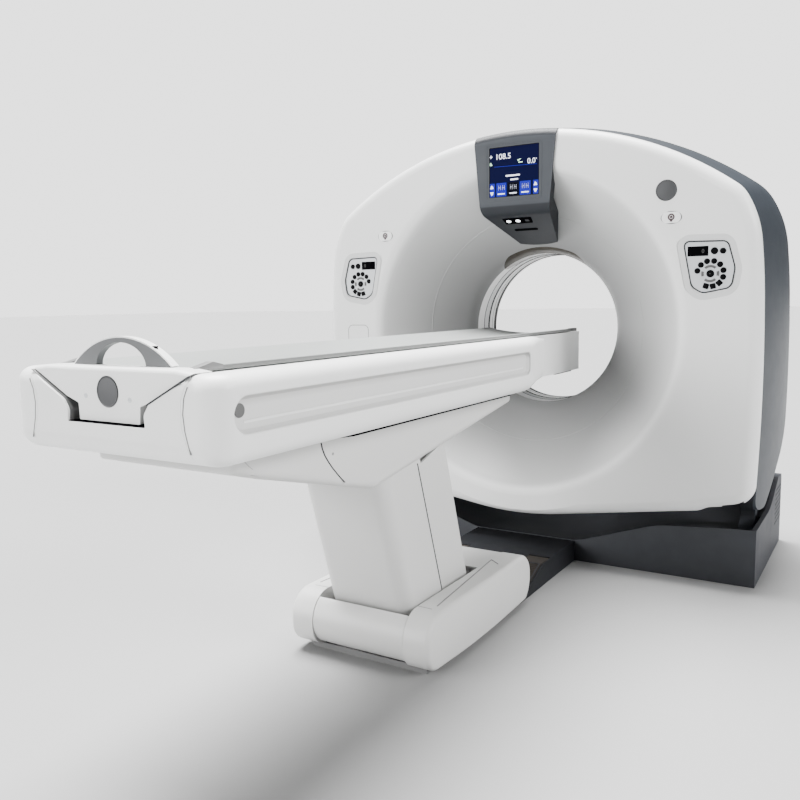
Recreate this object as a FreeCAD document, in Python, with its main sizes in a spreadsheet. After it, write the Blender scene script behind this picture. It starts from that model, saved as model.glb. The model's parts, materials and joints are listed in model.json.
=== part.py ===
"""A medical computed-tomography scanner: tilting gantry, floor plinth and patient table.

Millimetres, +Z up.  The bore axis lies along Y, the table stands on the -Y side, and
the origin is on the floor straight below the centre of the bore.
"""
import FreeCAD, Part
import math
import os

Vector = FreeCAD.Vector
Rotation = FreeCAD.Rotation
Placement = FreeCAD.Placement

# ---------------------------------------------------------------------------
# Driving dimensions: each is one aliased cell of the sheet "Sizes".
# ---------------------------------------------------------------------------
DIMENSIONS = {
    # gantry as a whole
    "iso_height": 1036, "bore_radius": 350, "gantry_top": 1893, "skin": 8,
    "face_y": -465, "front_seam_y": -407, "rear_seam_y": 283, "rear_face_y": 430,
    "face_rounding": 50, "rear_rounding": 60, "band_crown": 42,
    "flare_rim_radius": 700, "flare_rim_rounding": 90, "lip_y": -108, "rear_lip_y": 105,
    "rear_flare_radius": 560, "window_front_y": -36, "window_rear_y": 12,
    # plinth and dock
    "plinth_half_width": 993, "plinth_front_y": -340, "plinth_rear_y": 437,
    "plinth_height": 330, "trough_centre_radius": 1003, "trough_side_radius": 893,
    "trough_end_radius": 862, "plinth_wall": 10, "trough_half_width": 975,
    "dock_half_width": 240, "dock_end_y": -952, "dock_height": 90, "pedal_hinge_y": -628,
    "pedal_hinge_z": 82,
    # uprights and tilting frame
    "upright_inner_x": 885, "upright_thickness": 60, "hub_radius": 95, "trunnion_radius": 40,
    "frame_y": 112, "frame_thickness": 46, "race_outer_radius": 545, "race_inner_radius": 480,
    # rotor
    "rotor_radius": 770, "rotor_plate_y": 62, "rotor_plate": 24, "rotor_bore": 372,
    "pulley_radius": 60, "pulley_x": -770, "pulley_z": 545,
    # table base
    "pivot_z": 114, "front_pivot_y": -1632, "rear_pivot_y": -1299, "cap_radius": 92,
    "cap_rear_y": -1007, "base_half_width": 268, "cap_inner_x": 176, "plate_height": 20,
    "plate_half_width": 224, "plate_front_y": -1657, "plate_rear_y": -958,
    # arms
    "arm_length": 640, "arm_lean": 17.6, "arm_half_width": 160, "arm_depth": 222,
    "rear_arm_half_width": 148, "rear_arm_half_depth": 88, "arm_wall": 8,
    "shaft_radius": 24, "shaft_clearance": 0.4,
    # table top
    "saddle_half_width": 230, "saddle_top": 827, "table_half_width": 335,
    "table_foot_y": -2640, "table_end_y": -700, "table_bottom": 843, "table_crest": 1033,
    "table_slot": 222, "channel_depth": 16, "cradle_top": 1042,
    "cradle_half_width": 215, "cradle_foot_y": -2572, "cradle_end_y": -272,
    "end_block_y": -2628, "end_block_top": 1040, "handle_y": -2590, "handle_depth": 18,
    "cradle_thickness": 34, "cradle_dish": 22, "nose_half_width": 212, "nose_start_y": -1004,
    "nose_end_y": -205, "nose_bottom": 858, "nose_top": 1027,
    # gantry keypads and display housing
    "keypad_x": 808, "keypad_z": 1290, "housing_front_y": -474, "housing_top_x": 197,
    "housing_crease_x": 160, "housing_crease_z": 1548, "housing_tip_x": 124,
    "housing_tip_z": 1415,
}


def make_sheet(document):
    """Put every driving dimension into one spreadsheet, with its name as the alias."""
    sheet = document.addObject("Spreadsheet::Sheet", "Sizes")
    for row, (name, value) in enumerate(DIMENSIONS.items(), start=1):
        sheet.set("A%d" % row, name)
        sheet.set("B%d" % row, str(value))
        sheet.setAlias("B%d" % row, name)
    document.recompute()
    return sheet


doc = FreeCAD.newDocument("ct_scanner")
sizes = make_sheet(doc)
parts = {}


def size(name):
    """One driving dimension, read back from the sheet."""
    return float(sizes.get(name))


def sheet_words(expression):
    """Turn the bare names of an expression into references to the sheet."""
    words = sorted(DIMENSIONS, key=len, reverse=True)
    result, index = "", 0
    while index < len(expression):
        match = next((w for w in words if expression.startswith(w, index)), None)
        result += "Sizes." + match if match else expression[index]
        index += len(match) if match else 1
    return result


def bind(thing, **expressions):
    """Bind properties of an object to the sheet; X_Y names mean X.Y."""
    for name, expression in expressions.items():
        thing.setExpression(name.replace("__", "."), sheet_words(str(expression)))
    return thing


def keep(thing, label):
    """Give a finished sub-part its label, which also names its file."""
    thing.Label = label
    parts[label] = thing
    return thing


# ---------------------------------------------------------------------------
# Small builders
# ---------------------------------------------------------------------------
def box(length, width, height, corner):
    """A block whose sizes and low corner are sheet expressions."""
    block = doc.addObject("Part::Box", "Block")
    bind(block, Length=length, Width=width, Height=height)
    bind(block, Placement__Base__x=corner[0], Placement__Base__y=corner[1],
         Placement__Base__z=corner[2])
    return block


TURNS = {"X": Rotation(Vector(0, 1, 0), 90), "Y": Rotation(Vector(1, 0, 0), -90),
         "Z": Rotation()}


def rod(radius, length, axis, start):
    """A cylinder along a row axis from its start point."""
    cylinder = doc.addObject("Part::Cylinder", "Rod")
    cylinder.Placement = Placement(Vector(), TURNS[axis])
    bind(cylinder, Radius=radius, Height=length)
    bind(cylinder, Placement__Base__x=start[0], Placement__Base__y=start[1],
         Placement__Base__z=start[2])
    return cylinder


def fuse(*pieces):
    """One solid out of several."""
    joined = doc.addObject("Part::MultiFuse", "Joined")
    joined.Shapes = list(pieces)
    joined.Refine = True
    return joined


def cut(base, *tools):
    """The base with the tools taken out of it."""
    tool = tools[0] if len(tools) == 1 else fuse(*tools)
    rest = doc.addObject("Part::Cut", "Rest")
    rest.Base = base
    rest.Tool = tool
    return rest


def common(*pieces):
    """What all the pieces share."""
    shared = doc.addObject("Part::MultiCommon", "Shared")
    shared.Shapes = list(pieces)
    return shared


def mirrored(source):
    """The other hand of a piece, across the plane of symmetry."""
    mirror = doc.addObject("Part::Mirroring", "Mirror")
    mirror.Source = source
    mirror.Normal = (1, 0, 0)
    return mirror


def group(*pieces):
    """Several separate solids in one node."""
    together = doc.addObject("Part::Compound", "Group")
    together.Links = list(pieces)
    return together


def solid(shape):
    """A free shape made with Part's own functions."""
    feature = doc.addObject("Part::Feature", "Form")
    feature.Shape = shape
    return feature


def rounded(corners):
    """Edges of a closed outline: each corner is (u, v) or (u, v, radius)."""
    points = [Vector(c[0], c[1], 0) for c in corners]
    radii = [c[2] if len(c) > 2 else 0 for c in corners]
    count = len(points)
    starts, ends, arcs = [], [], []
    for i, corner in enumerate(points):
        before = (points[i - 1] - corner).normalize()
        after = (points[(i + 1) % count] - corner).normalize()
        half = before.getAngle(after) / 2
        reach = radii[i] / math.tan(half) if radii[i] else 0
        starts.append(corner + before * reach)
        ends.append(corner + after * reach)
        if radii[i]:
            inward = (before + after).normalize()
            middle = corner + inward * (radii[i] / math.sin(half) - radii[i])
            arcs.append(Part.Arc(starts[i], middle, ends[i]))
        else:
            arcs.append(None)
    edges = []
    for i in range(count):
        if arcs[i]:
            edges.append(arcs[i])
        after = starts[(i + 1) % count]
        if (after - ends[i]).Length > 1e-6:
            edges.append(Part.LineSegment(ends[i], after))
    return edges


PLANES = {"X": "YZ_Plane", "Y": "XZ_Plane", "Z": "XY_Plane"}


def body_with_sketch(axis, edges):
    """A body with one sketch on the origin plane that stands square to the axis."""
    body = doc.addObject("PartDesign::Body", "Body")
    sketch = body.newObject("Sketcher::SketchObject", "Sketch")
    plane = next(f for f in body.Origin.OriginFeatures if f.Role == PLANES[axis])
    sketch.AttachmentSupport = (plane, [""])
    sketch.MapMode = "FlatFace"
    sketch.addGeometry(edges, False)
    return body, sketch


def pad(axis, edges, length, start):
    """An outline padded along +axis from the start, both sheet expressions."""
    body, sketch = body_with_sketch(axis, edges)
    feature = body.newObject("PartDesign::Pad", "Pad")
    feature.Profile = sketch
    feature.Reversed = axis == "Y"
    bind(feature, Length=length)
    bind(body, **{"Placement__Base__" + axis.lower(): start})
    return body


def slab_x(edges, half_width):
    """A side-view outline (y, z) as thick as twice the half width, centred on x = 0."""
    return pad("X", edges, "2 * (%s)" % half_width, "-(%s)" % half_width)


# ---------------------------------------------------------------------------
# The gantry's outline: a chain of tangent arcs and straights, drawn from the
# top centre clockwise to the bottom centre, and closed by its mirror image.
# ---------------------------------------------------------------------------
class Chain:
    """Tangent arcs and straights walked from a start point with a heading."""

    def __init__(self, point, heading=0.0):
        self.point = Vector(point)
        self.heading = heading
        self.edges = []
        self.centres = []

    def direction(self, heading):
        return Vector(math.cos(math.radians(heading)), -math.sin(math.radians(heading)), 0)

    def go(self, length):
        """A straight of the given length."""
        end = self.point + self.direction(self.heading) * length
        self.edges.append(Part.LineSegment(self.point, end))
        self.centres.append(None)
        self.point = end
        return self

    def turn(self, radius, heading):
        """An arc that ends at the new heading."""
        centre = self.point + self.direction(self.heading + 90) * radius

        def at(angle):
            return centre - self.direction(angle + 90) * radius

        self.edges.append(Part.Arc(self.point, at((self.heading + heading) / 2), at(heading)))
        self.centres.append(centre)
        self.point = at(heading)
        self.heading = heading
        return self

    def mirrored_edges(self):
        """The same walk on the other side of the vertical axis."""
        def flip(point):
            return Vector(-point.x, point.y, 0)

        result = []
        for edge in self.edges:
            ends = flip(edge.EndPoint), flip(edge.StartPoint)
            if isinstance(edge, Part.LineSegment):
                result.append(Part.LineSegment(*ends))
            else:
                middle = edge.value((edge.FirstParameter + edge.LastParameter) / 2)
                result.append(Part.Arc(ends[0], flip(middle), ends[1]))
        return result


CROWN_HEADINGS = ((1495, 36.5), (150, 60), (430, 84), (3000, 88), (9000, 92))


def flank_chain(inset):
    """The walk over the crown and down the flank, as far as both covers share it."""
    chain = Chain((0, size("gantry_top") - inset, 0))
    for radius, heading in CROWN_HEADINGS:
        chain.turn(radius - inset, heading)
    return chain


def close_bottom(chain, bottom_radius, heading):
    """A straight and the shallow bottom arc, which ends on the plane of symmetry."""
    reach = bottom_radius * math.sin(math.radians(180 - heading))
    chain.go((chain.point.x - reach) / math.cos(math.radians(180 - heading)))
    chain.turn(bottom_radius, 180)
    return chain


def front_outline(inset):
    """The front cover's outline, which steps down a little towards its middle."""
    chain = flank_chain(inset).go(110).turn(90 - inset, 167).turn(1200 - inset, 171.5)
    chain.turn(-80 - inset, 152).go(10).turn(80 - inset, 171.5)
    return close_bottom(chain, 1300 - inset, 171.5)


def rear_outline(inset):
    """The rear cover's outline, whose lower corners are cut back for the tilt."""
    chain = Chain((0, size("gantry_top") - inset, 0))
    for radius, heading in CROWN_HEADINGS[:-1]:
        chain.turn(radius - inset, heading)
    chain.turn(9000 - inset, 90).go(160).turn(330 - inset, 167.5)
    return close_bottom(chain, 1300 - inset, 167.5)


def closed_face(chain, y):
    """The chain and its mirror image as an upright face at a given y."""
    edges = [g.toShape() for g in chain.edges + chain.mirrored_edges()]
    face = Part.Face(Part.Wire(Part.__sortEdges__(edges)))
    face.Placement = Placement(Vector(0, y, 0), Rotation(Vector(1, 0, 0), 90))
    return face


def outline_block(outline, inset, start, depth):
    """The outline made solid along Y, and the edges of its start face."""
    face = closed_face(outline(inset), start)
    block = face.extrude(Vector(0, depth, 0))
    rim = [e for e in block.Edges
           if all(abs(v.Point.y - start) < 0.01 for v in e.Vertexes)]
    return block, rim


def rounded_block(outline, inset, start, depth, rounding):
    """The outline made solid along Y, with the rim at the start face rounded."""
    block, rim = outline_block(outline, inset, start, depth)
    return block.makeFillet(rounding, rim)


def bevelled_block(outline, inset, start, depth, bevel):
    """The same block with a flat bevel, for surfaces inside a cover."""
    block, rim = outline_block(outline, inset, start, depth)
    return block.makeChamfer(bevel, rim)


def cover_shell(outline, start, depth, rounding):
    """A moulded cover: the rounded block less the bevelled block inside its skin."""
    skin = size("skin")
    sign = 1 if depth > 0 else -1
    outer = rounded_block(outline, 0, start, depth, rounding)
    inner = bevelled_block(outline, skin, start + sign * skin, depth, rounding * 0.6)
    return outer.cut(inner)


def stepped(corners):
    """The same outline with three short straights in place of each arc."""
    points = []
    for edge in rounded(corners):
        steps = 1 if isinstance(edge, Part.LineSegment) else 3
        first, last = edge.FirstParameter, edge.LastParameter
        points += [edge.value(first + (last - first) * i / steps) for i in range(steps)]
    return [(point.x, point.y) for point in points]


def flare(rim_y, rim_radius, rounding, lip_y, skin, coned=False):
    """The dished mouth of the bore about its axis, with rounded or coned edges."""
    lip = size("bore_radius")
    side = 1 if lip_y > rim_y else -1
    throat = (lip_y - side * 40, lip + 18)
    outer = [(rim_y, rim_radius + 140), (rim_y, rim_radius, rounding), throat + (120,),
             (lip_y, lip)]
    bevel = rounding * 0.42
    slope = Vector(throat[0] - rim_y, throat[1] - rim_radius, 0).normalize() * bevel
    inner = [(lip_y, lip + skin), (throat[0] + side * skin, throat[1] + skin),
             (rim_y + slope.x + side * skin * 1.6, rim_radius + slope.y),
             (rim_y + side * skin, rim_radius + bevel), (rim_y + side * skin, rim_radius + 140)]
    profile = stepped(outer + inner) if coned else outer + inner
    edges = [e.toShape() for e in rounded(profile)]
    face = Part.Face(Part.Wire(Part.__sortEdges__(edges)))
    ring = face.revolve(Vector(0, 0, 0), Vector(1, 0, 0), 360)
    ring.Placement = Placement(Vector(0, 0, size("iso_height")), Rotation(Vector(0, 0, 1), 90))
    return ring


def disc_y(radius, start, depth, x=0.0, z=None):
    """A plain cylinder along Y used as a cutter."""
    height = size("iso_height") if z is None else z
    return Part.makeCylinder(radius, depth, Vector(x, start, height), Vector(0, 1, 0))


def block_at(low, high):
    """A plain block between two corners used as a cutter."""
    low, high = Vector(*low), Vector(*high)
    span = high - low
    return Part.makeBox(span.x, span.y, span.z, low)


def prism_y(corners, start, depth):
    """A front-view outline (x, z) extruded along Y."""
    edges = [e.toShape() for e in rounded(corners)]
    face = Part.Face(Part.Wire(Part.__sortEdges__(edges)))
    face.Placement = Placement(Vector(0, start, 0), Rotation(Vector(1, 0, 0), 90))
    return face.extrude(Vector(0, depth, 0))


def prism_x(corners, start, depth):
    """A side-view outline (y, z) extruded along X."""
    edges = [e.toShape() for e in rounded(corners)]
    face = Part.Face(Part.Wire(Part.__sortEdges__(edges)))
    face.Placement = Placement(Vector(start, 0, 0),
                               Rotation(Vector(0, 1, 0), Vector(0, 0, 1), Vector(1, 0, 0), "ZXY"))
    return face.extrude(Vector(depth, 0, 0))


# ---------------------------------------------------------------------------
# Keypads on the gantry's face, one on each side
# ---------------------------------------------------------------------------
KEYPAD_CORNERS = ((-100, 94, 20), (64, 90, 24), (92, -10, 60), (80, -84, 30),
                  (-24, -104, 34), (-66, -78, 40))
TRAY_CORNERS = ((-132, 112, 34), (78, 108, 34), (108, -10, 70), (92, -104, 40),
                (-20, -130, 44), (-88, -100, 50))
BIG_KEYS = {"stop": (16, 55, 13), "lamp": (47, 54, 11), "centre": (3, -31, 14)}
SMALL_KEY_RADIUS = 49
SMALL_KEY_SIZE = 9.5
SMALL_KEY_ANGLES = tuple(166 - 30.4 * i for i in range(10))
WINDOW_LOW, WINDOW_HIGH = (-83, 37), (-6, 75)
KEY_GAP = 0.6
KEY_FIT = 0.6
LAMP_X, LAMP_Z, LAMP_HALF = 661, 1480, (37, 21.5)


def keypad_outline(side, corners=KEYPAD_CORNERS, inset=0.0):
    """Corners of a keypad's outline, moved in by the inset; side is +1 right, -1 left."""
    x, z = size("keypad_x"), size("keypad_z")
    result = []
    for u, v, radius in corners:
        reach = math.hypot(u, v)
        scale = (reach - inset) / reach
        result.append((side * (x + u * scale), z + v * scale, radius))
    return result


def small_key_places():
    """Centres of the arc of small keys, relative to the keypad's centre."""
    u, v, _ = BIG_KEYS["centre"]
    return [(u + SMALL_KEY_RADIUS * math.cos(math.radians(a)),
             v + SMALL_KEY_RADIUS * math.sin(math.radians(a))) for a in SMALL_KEY_ANGLES]


def small_key(radius, start, depth, x, z):
    """One eight-sided key, or the hole for it, along Y."""
    corners = [(x + radius * math.cos(math.radians(a)), z + radius * math.sin(math.radians(a)))
               for a in range(22, 382, 45)]
    return prism_y(corners, start, depth)


def make_keypad(side, name):
    """Bezel, one-piece key mat and three sprung keys of one keypad."""
    x, z = size("keypad_x"), size("keypad_z")
    top = size("face_y") + 3
    bezel, mat_depth = 9, 3
    small = [(side * (x + u), z + v) for u, v in small_key_places()]
    big = [(side * (x + u), z + v, radius) for u, v, radius in BIG_KEYS.values()]
    plate = prism_y(keypad_outline(side), top, bezel)
    holes = [small_key(SMALL_KEY_SIZE + 1, top - 1, bezel + 2, *place) for place in small]
    holes += [disc_y(r + KEY_GAP, top - 1, bezel + 2, u, v) for u, v, r in big]
    edge = sorted([side * (x + WINDOW_LOW[0]), side * (x + WINDOW_HIGH[0])])
    holes.append(block_at((edge[0], top - 1, z + WINDOW_LOW[1]),
                          (edge[1], top + 1.5, z + WINDOW_HIGH[1])))
    keep(solid(plate.cut(Part.makeCompound(holes))), "keypad_bezel_" + name)
    mat = prism_y(keypad_outline(side, inset=3), top + bezel, mat_depth)
    domes = [small_key(SMALL_KEY_SIZE, top - 1.5, bezel + 2, *place) for place in small]
    clear = [disc_y(r + KEY_GAP, top + bezel - 1, mat_depth + 2, u, v) for u, v, r in big]
    keep(solid(mat.fuse(domes).cut(Part.makeCompound(clear)).removeSplitter()), "key_mat_" + name)
    for key, (u, v, radius) in zip(BIG_KEYS, big):
        keep(solid(disc_y(radius, top - 3, bezel + 8, u, v)), "%s_key_%s" % (key, name))


# ---------------------------------------------------------------------------
# Gantry covers
# ---------------------------------------------------------------------------
def upright_relief(low_y, high_y):
    """Room in a cover's lower flange for both uprights as the gantry tilts."""
    inner = size("upright_inner_x")
    outer = inner + size("upright_thickness")
    notch = block_at((inner - 12, low_y, 150), (outer + 12, high_y, 560))
    return notch.fuse(notch.mirror(Vector(), Vector(1, 0, 0)))


def make_front_cover(lens):
    """White front cover with the dished mouth of the bore."""
    face, seam, skin = size("face_y"), size("front_seam_y"), size("skin")
    shell = cover_shell(front_outline, face, seam - face, size("face_rounding"))
    shell = shell.cut(disc_y(size("flare_rim_radius") + 100, face - 1, 60))
    shell = shell.fuse(flare(face, size("flare_rim_radius"), size("flare_rim_rounding"),
                             size("lip_y"), skin).common(
        disc_y(size("flare_rim_radius") + 100, face - 1, 500)))
    shell = shell.cut(upright_relief(face + 20, seam + 1))
    for side in (1, -1):
        tray = prism_y(keypad_outline(side, TRAY_CORNERS), face - 1, 4)
        through = prism_y(keypad_outline(side, inset=-KEY_FIT), face - 1, skin + 3)
        shell = shell.cut(tray.fuse(through))
    shell = shell.cut(housing_block(0.0)).cut(lens)
    keep(solid(shell.removeSplitter()), "front_cover")


def band_solid():
    """The band's crescent section swept along the gantry's outline."""
    seam, rear, crown, skin = (size(n) for n in
                               ("front_seam_y", "rear_seam_y", "band_crown", "skin"))
    pieces = []
    chain = flank_chain(0).go(330)
    middle = (seam + rear) / 2
    for edge, centre in zip(chain.edges, chain.centres):
        first, last = edge.StartPoint, edge.EndPoint
        if centre is None:
            tangent = (last - first).normalize()
            normal = Vector(-tangent.y, tangent.x, 0)
            pieces.append(crescent(first, normal, seam, middle, rear, crown, skin)
                          .extrude(Vector(last.x - first.x, 0, last.y - first.y)))
        else:
            normal = (first - centre).normalize()
            angle = math.degrees((first - centre).getAngle(last - centre))
            pieces.append(crescent(first, normal, seam, middle, rear, crown, skin)
                          .revolve(Vector(centre.x, 0, centre.y), Vector(0, 1, 0), angle))
    half = pieces[0].fuse(pieces[1:]).removeSplitter()
    return half.fuse(half.mirror(Vector(), Vector(1, 0, 0))).removeSplitter()


def crescent(point, normal, seam, middle, rear, crown, skin):
    """Section of the band at one point of the outline, as an upright face."""
    def at(y, out):
        return Vector(point.x + normal.x * out, y, point.y + normal.y * out)

    outer = Part.Arc(at(seam, 0), at(middle, crown), at(rear, 0)).toShape()
    inner = Part.LineSegment(at(rear, -skin), at(seam, -skin)).toShape()
    ends = [Part.LineSegment(at(rear, 0), at(rear, -skin)).toShape(),
            Part.LineSegment(at(seam, -skin), at(seam, 0)).toShape()]
    return Part.Face(Part.Wire([outer, ends[0], inner, ends[1]]))


def make_band():
    """Trim the swept band with its side-view outline, which narrows to round tips."""
    seam, rear = size("front_seam_y"), size("rear_seam_y")
    top = size("gantry_top") + 120
    side_view = [(seam + 2, top), (seam + 2, 330, 50), (seam + 106, 330, 50),
                 (-160, 470, 120), (rear, 790, 200), (rear, top)]
    trimmed = band_solid().common(prism_x(side_view, -1200, 2400))
    return keep(solid(trimmed), "side_band")


def make_rear_cover():
    """Rear cover with its own, smaller mouth."""
    face, seam, skin = size("rear_face_y"), size("rear_seam_y"), size("skin")
    shell = cover_shell(rear_outline, face, seam - face, size("rear_rounding"))
    reach = size("rear_flare_radius") + 60
    shell = shell.cut(disc_y(reach, seam - 1, 400))
    mouth = flare(face, size("rear_flare_radius"), 60, size("rear_lip_y"), skin, True)
    shell = shell.fuse(mouth.common(disc_y(reach, 0, 600)))
    shell = shell.cut(upright_relief(seam - 1, face - skin - 1))
    return keep(solid(shell.removeSplitter()), "rear_cover")


def make_bore_liner(lens):
    """Two liner rings with the scan window between them."""
    skin, radius = 5, size("bore_radius")
    lip, rear_lip = size("lip_y"), size("rear_lip_y")
    start, end = size("window_front_y"), size("window_rear_y")
    front = disc_y(radius + skin, lip, start - lip).cut(disc_y(radius, lip, start - lip))
    rear = disc_y(radius + skin, end, rear_lip - end).cut(disc_y(radius, end, rear_lip - end))
    keep(solid(Part.makeCompound([front.cut(lens), rear])), "bore_liner")
    window = disc_y(radius + 3, start, end - start).cut(disc_y(radius + 1, start, end - start))
    keep(solid(window), "scan_window")


SIDE_DRAFT = 0.125
SCREEN_LOW, SCREEN_HIGH = (-115, 1613), (115, 1824)
LENS_HALF, LENS_DEPTH = 205, 70


def housing_view(shrink, y, draw_in):
    """Front-view outline of the display housing at one depth, as a closed wire."""
    top, tip_z = size("gantry_top") + 60, size("housing_tip_z")
    half = [(size("housing_top_x"), top), (size("housing_crease_x"), size("housing_crease_z")),
            (size("housing_tip_x"), tip_z)]
    right = [Vector(x - draw_in - shrink, y, z) for x, z in half]
    left = [Vector(-point.x, point.y, point.z) for point in reversed(right)]
    return Part.makePolygon(right + left + right[:1])


def housing_block(shrink):
    """The display housing's envelope: sides drawn in to the rear, lower part slanting back."""
    front, crease = size("housing_front_y") + shrink, size("housing_crease_z")
    top, tip_z = size("gantry_top") + 60, size("housing_tip_z")
    start, depth = front - 5, 400
    view = Part.makeLoft([housing_view(shrink, start, 0),
                          housing_view(shrink, start + depth, SIDE_DRAFT * depth)], True, True)
    back = size("front_seam_y") - 1
    side = prism_x([(front, top), (front, crease, 60), (-160, tip_z + 6 + shrink),
                    (-90, tip_z + 6 + shrink), (-90, 1480), (-190, 1500), (back, 1600),
                    (back, top)], -400, 800)
    return view.common(side)


def make_housing():
    """Grey display housing, its screen and the sensor strip below it."""
    skin, front = 6, size("housing_front_y")
    envelope = housing_block(0.0).common(rounded_block(front_outline, 0, front, 500, 45))
    cavity = housing_block(skin).common(
        bevelled_block(front_outline, skin + 2, front + skin, 500, 20))
    behind = disc_y(size("bore_radius") + 40, -500, 700)
    low, high = SCREEN_LOW, SCREEN_HIGH
    opening = block_at((low[0], front - 2, low[1]), (high[0], front + 8, high[1]))
    shell = envelope.cut(cavity).cut(behind).cut(opening)
    keep(solid(shell.removeSplitter()), "console_housing")
    screen = block_at((low[0], front + 2, low[1]), (high[0], front + 10, high[1]))
    keep(solid(screen), "console_screen")


def laser_lens():
    """Smoked window over the positioning light, wrapped round the top of the bore's lip."""
    lip, radius, skin = size("lip_y"), size("bore_radius"), 3
    mouth = flare(size("face_y"), size("flare_rim_radius"), size("flare_rim_rounding"), lip, skin)
    throat = disc_y(radius + skin, lip, LENS_DEPTH).cut(disc_y(radius, lip, LENS_DEPTH))
    half, front, rear = LENS_HALF, lip - 49, lip + LENS_DEPTH - 3
    plan = prism_z([(half, front, 52), (half, rear, 52), (-half, rear, 52), (-half, front, 52)],
                   size("iso_height") + 200, size("iso_height") + 400)
    return mouth.fuse(throat).common(plan).removeSplitter()


def make_gantry_covers():
    """All outer pieces that tilt with the gantry."""
    lens = laser_lens()
    keep(solid(lens), "laser_window")
    make_front_cover(lens)
    make_band()
    make_rear_cover()
    make_bore_liner(lens)
    make_housing()
    make_keypad(1, "right")
    make_keypad(-1, "left")
    lamps = [oval_lamp(side) for side in (1, -1)]
    keep(solid(Part.makeCompound(lamps)), "indicator_lamps")


def oval_lamp(side):
    """One oval indicator lamp set into the face above the keypad."""
    long_side, short_side = LAMP_HALF
    corners = [(side * LAMP_X + i * long_side, LAMP_Z + j * short_side, short_side - 0.1)
               for i, j in ((-1, -1), (1, -1), (1, 1), (-1, 1))]
    return prism_y(corners, size("face_y") - 3, 3)


# ---------------------------------------------------------------------------
# Tilting frame and what turns in it
# ---------------------------------------------------------------------------
def ring_y(outer, inner, start, depth):
    """A flat ring about the bore axis, from sheet expressions."""
    whole = rod(outer, depth, "Y", ("0", start, "iso_height"))
    hole = rod(inner, depth, "Y", ("0", start, "iso_height"))
    return cut(whole, hole)


def make_tilt_frame():
    """Steel plate round the bearing, with a boxed arm and a stub shaft on each side."""
    corners = [(-800, 560, 200), (-560, 330, 200), (560, 330, 200), (800, 560, 200),
               (800, 1560, 260), (-800, 1560, 260)]
    plate = pad("Y", rounded([(c[0], c[1], c[2]) for c in corners]), "frame_thickness", "frame_y")
    hole = rod("race_outer_radius", "frame_thickness", "Y", ("0", "frame_y", "iso_height"))
    plate = cut(plate, hole)
    arm = slab_arm()
    stub = rod("trunnion_radius", "upright_thickness + 7", "X",
               ("upright_inner_x - 8", "0", "iso_height"))
    struts = [box("54", "rear_face_y - face_y - 2 * skin", "50", (x, "face_y + skin", z))
              for x, z in (("814", "780"), ("735", "1400"))]
    lug = box("88", "frame_thickness", "50", ("780", "frame_y", "780"))
    motor_foot = box("130", "frame_thickness", "150", ("pulley_x - 40", "frame_y", "pulley_z - 75"))
    foot_bore = rod("34", "frame_thickness", "Y", ("pulley_x", "frame_y", "pulley_z"))
    sides = [arm, stub, lug] + struts
    frame = fuse(plate, motor_foot, *(sides + [mirrored(side) for side in sides]))
    return keep(cut(frame, foot_bore), "tilt_frame")


def slab_arm():
    """The boxed arm that carries one stub shaft."""
    outline = rounded([(-70, 950, 40), (158, 930), (158, 1142), (-70, 1122, 40)])
    return pad("X", outline, "upright_inner_x - 8 - 792", "792")


def make_bearing():
    """Outer race, fixed in the frame."""
    race = ring_y("race_outer_radius", "race_inner_radius", "frame_y", "frame_thickness")
    keep(race, "bearing_outer_race")


def make_rotor():
    """Rotor plate with its hub, and what it carries round the patient."""
    plate = ring_y("rotor_radius", "rotor_bore", "rotor_plate_y", "rotor_plate")
    hub = ring_y("race_inner_radius - 1", "race_inner_radius - 45", "rotor_plate_y",
                 "frame_y + frame_thickness - 2 - rotor_plate_y")
    pockets = [rod("70", "40", "Y", ("%g" % (610 * math.cos(math.radians(a))), "rotor_plate_y - 5",
                                     "iso_height + %g" % (610 * math.sin(math.radians(a)))))
               for a in (25, 155, 205, 335)]
    keep(cut(fuse(plate, hub), *pockets), "rotor_disc")
    make_tube()
    make_detector()
    generator = box("300", "150", "420", ("-740", "rotor_plate_y - 150", "iso_height - 210"))
    keep(common(generator, ring_y("rotor_radius - 12", "430", "rotor_plate_y - 150", "150")),
         "generator")
    ring = ring_y("race_inner_radius - 45", "rotor_bore + 30", "rotor_plate_y + rotor_plate",
                  "frame_y + frame_thickness - 2 - rotor_plate_y - rotor_plate")
    keep(ring, "slip_ring")


def make_tube():
    """X-ray tube in its finned housing, with the collimator in front of its port."""
    housing = rod("105", "210", "Y", ("0", "rotor_plate_y - 210", "iso_height + 600"))
    fins = [rod("112", "8", "Y", ("0", "rotor_plate_y - %d" % (200 - 24 * i), "iso_height + 600"))
            for i in range(3)]
    mount = box("260", "30", "170", ("-130", "rotor_plate_y - 30", "iso_height + 520"))
    keep(fuse(housing, mount, *fins), "x_ray_tube")
    jaw = pad("Y", rounded([(-70, 1466, 6), (70, 1466, 6), (95, 1526, 6), (-95, 1526, 6)]),
              "rotor_plate_y + 50", "-50")
    keep(jaw, "collimator")


def make_detector():
    """Detector arc centred on the tube's focus, below the bore."""
    focus = size("iso_height") + 541
    depth = size("rotor_plate_y") + 60
    ring = disc_y(1040, -60, depth, z=focus).cut(disc_y(955, -60, depth, z=focus))
    wedge = prism_y([(0, focus), (-560, 640), (-560, 480), (560, 480), (560, 640)], -60, depth)
    keep(solid(ring.common(wedge)), "detector")


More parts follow.
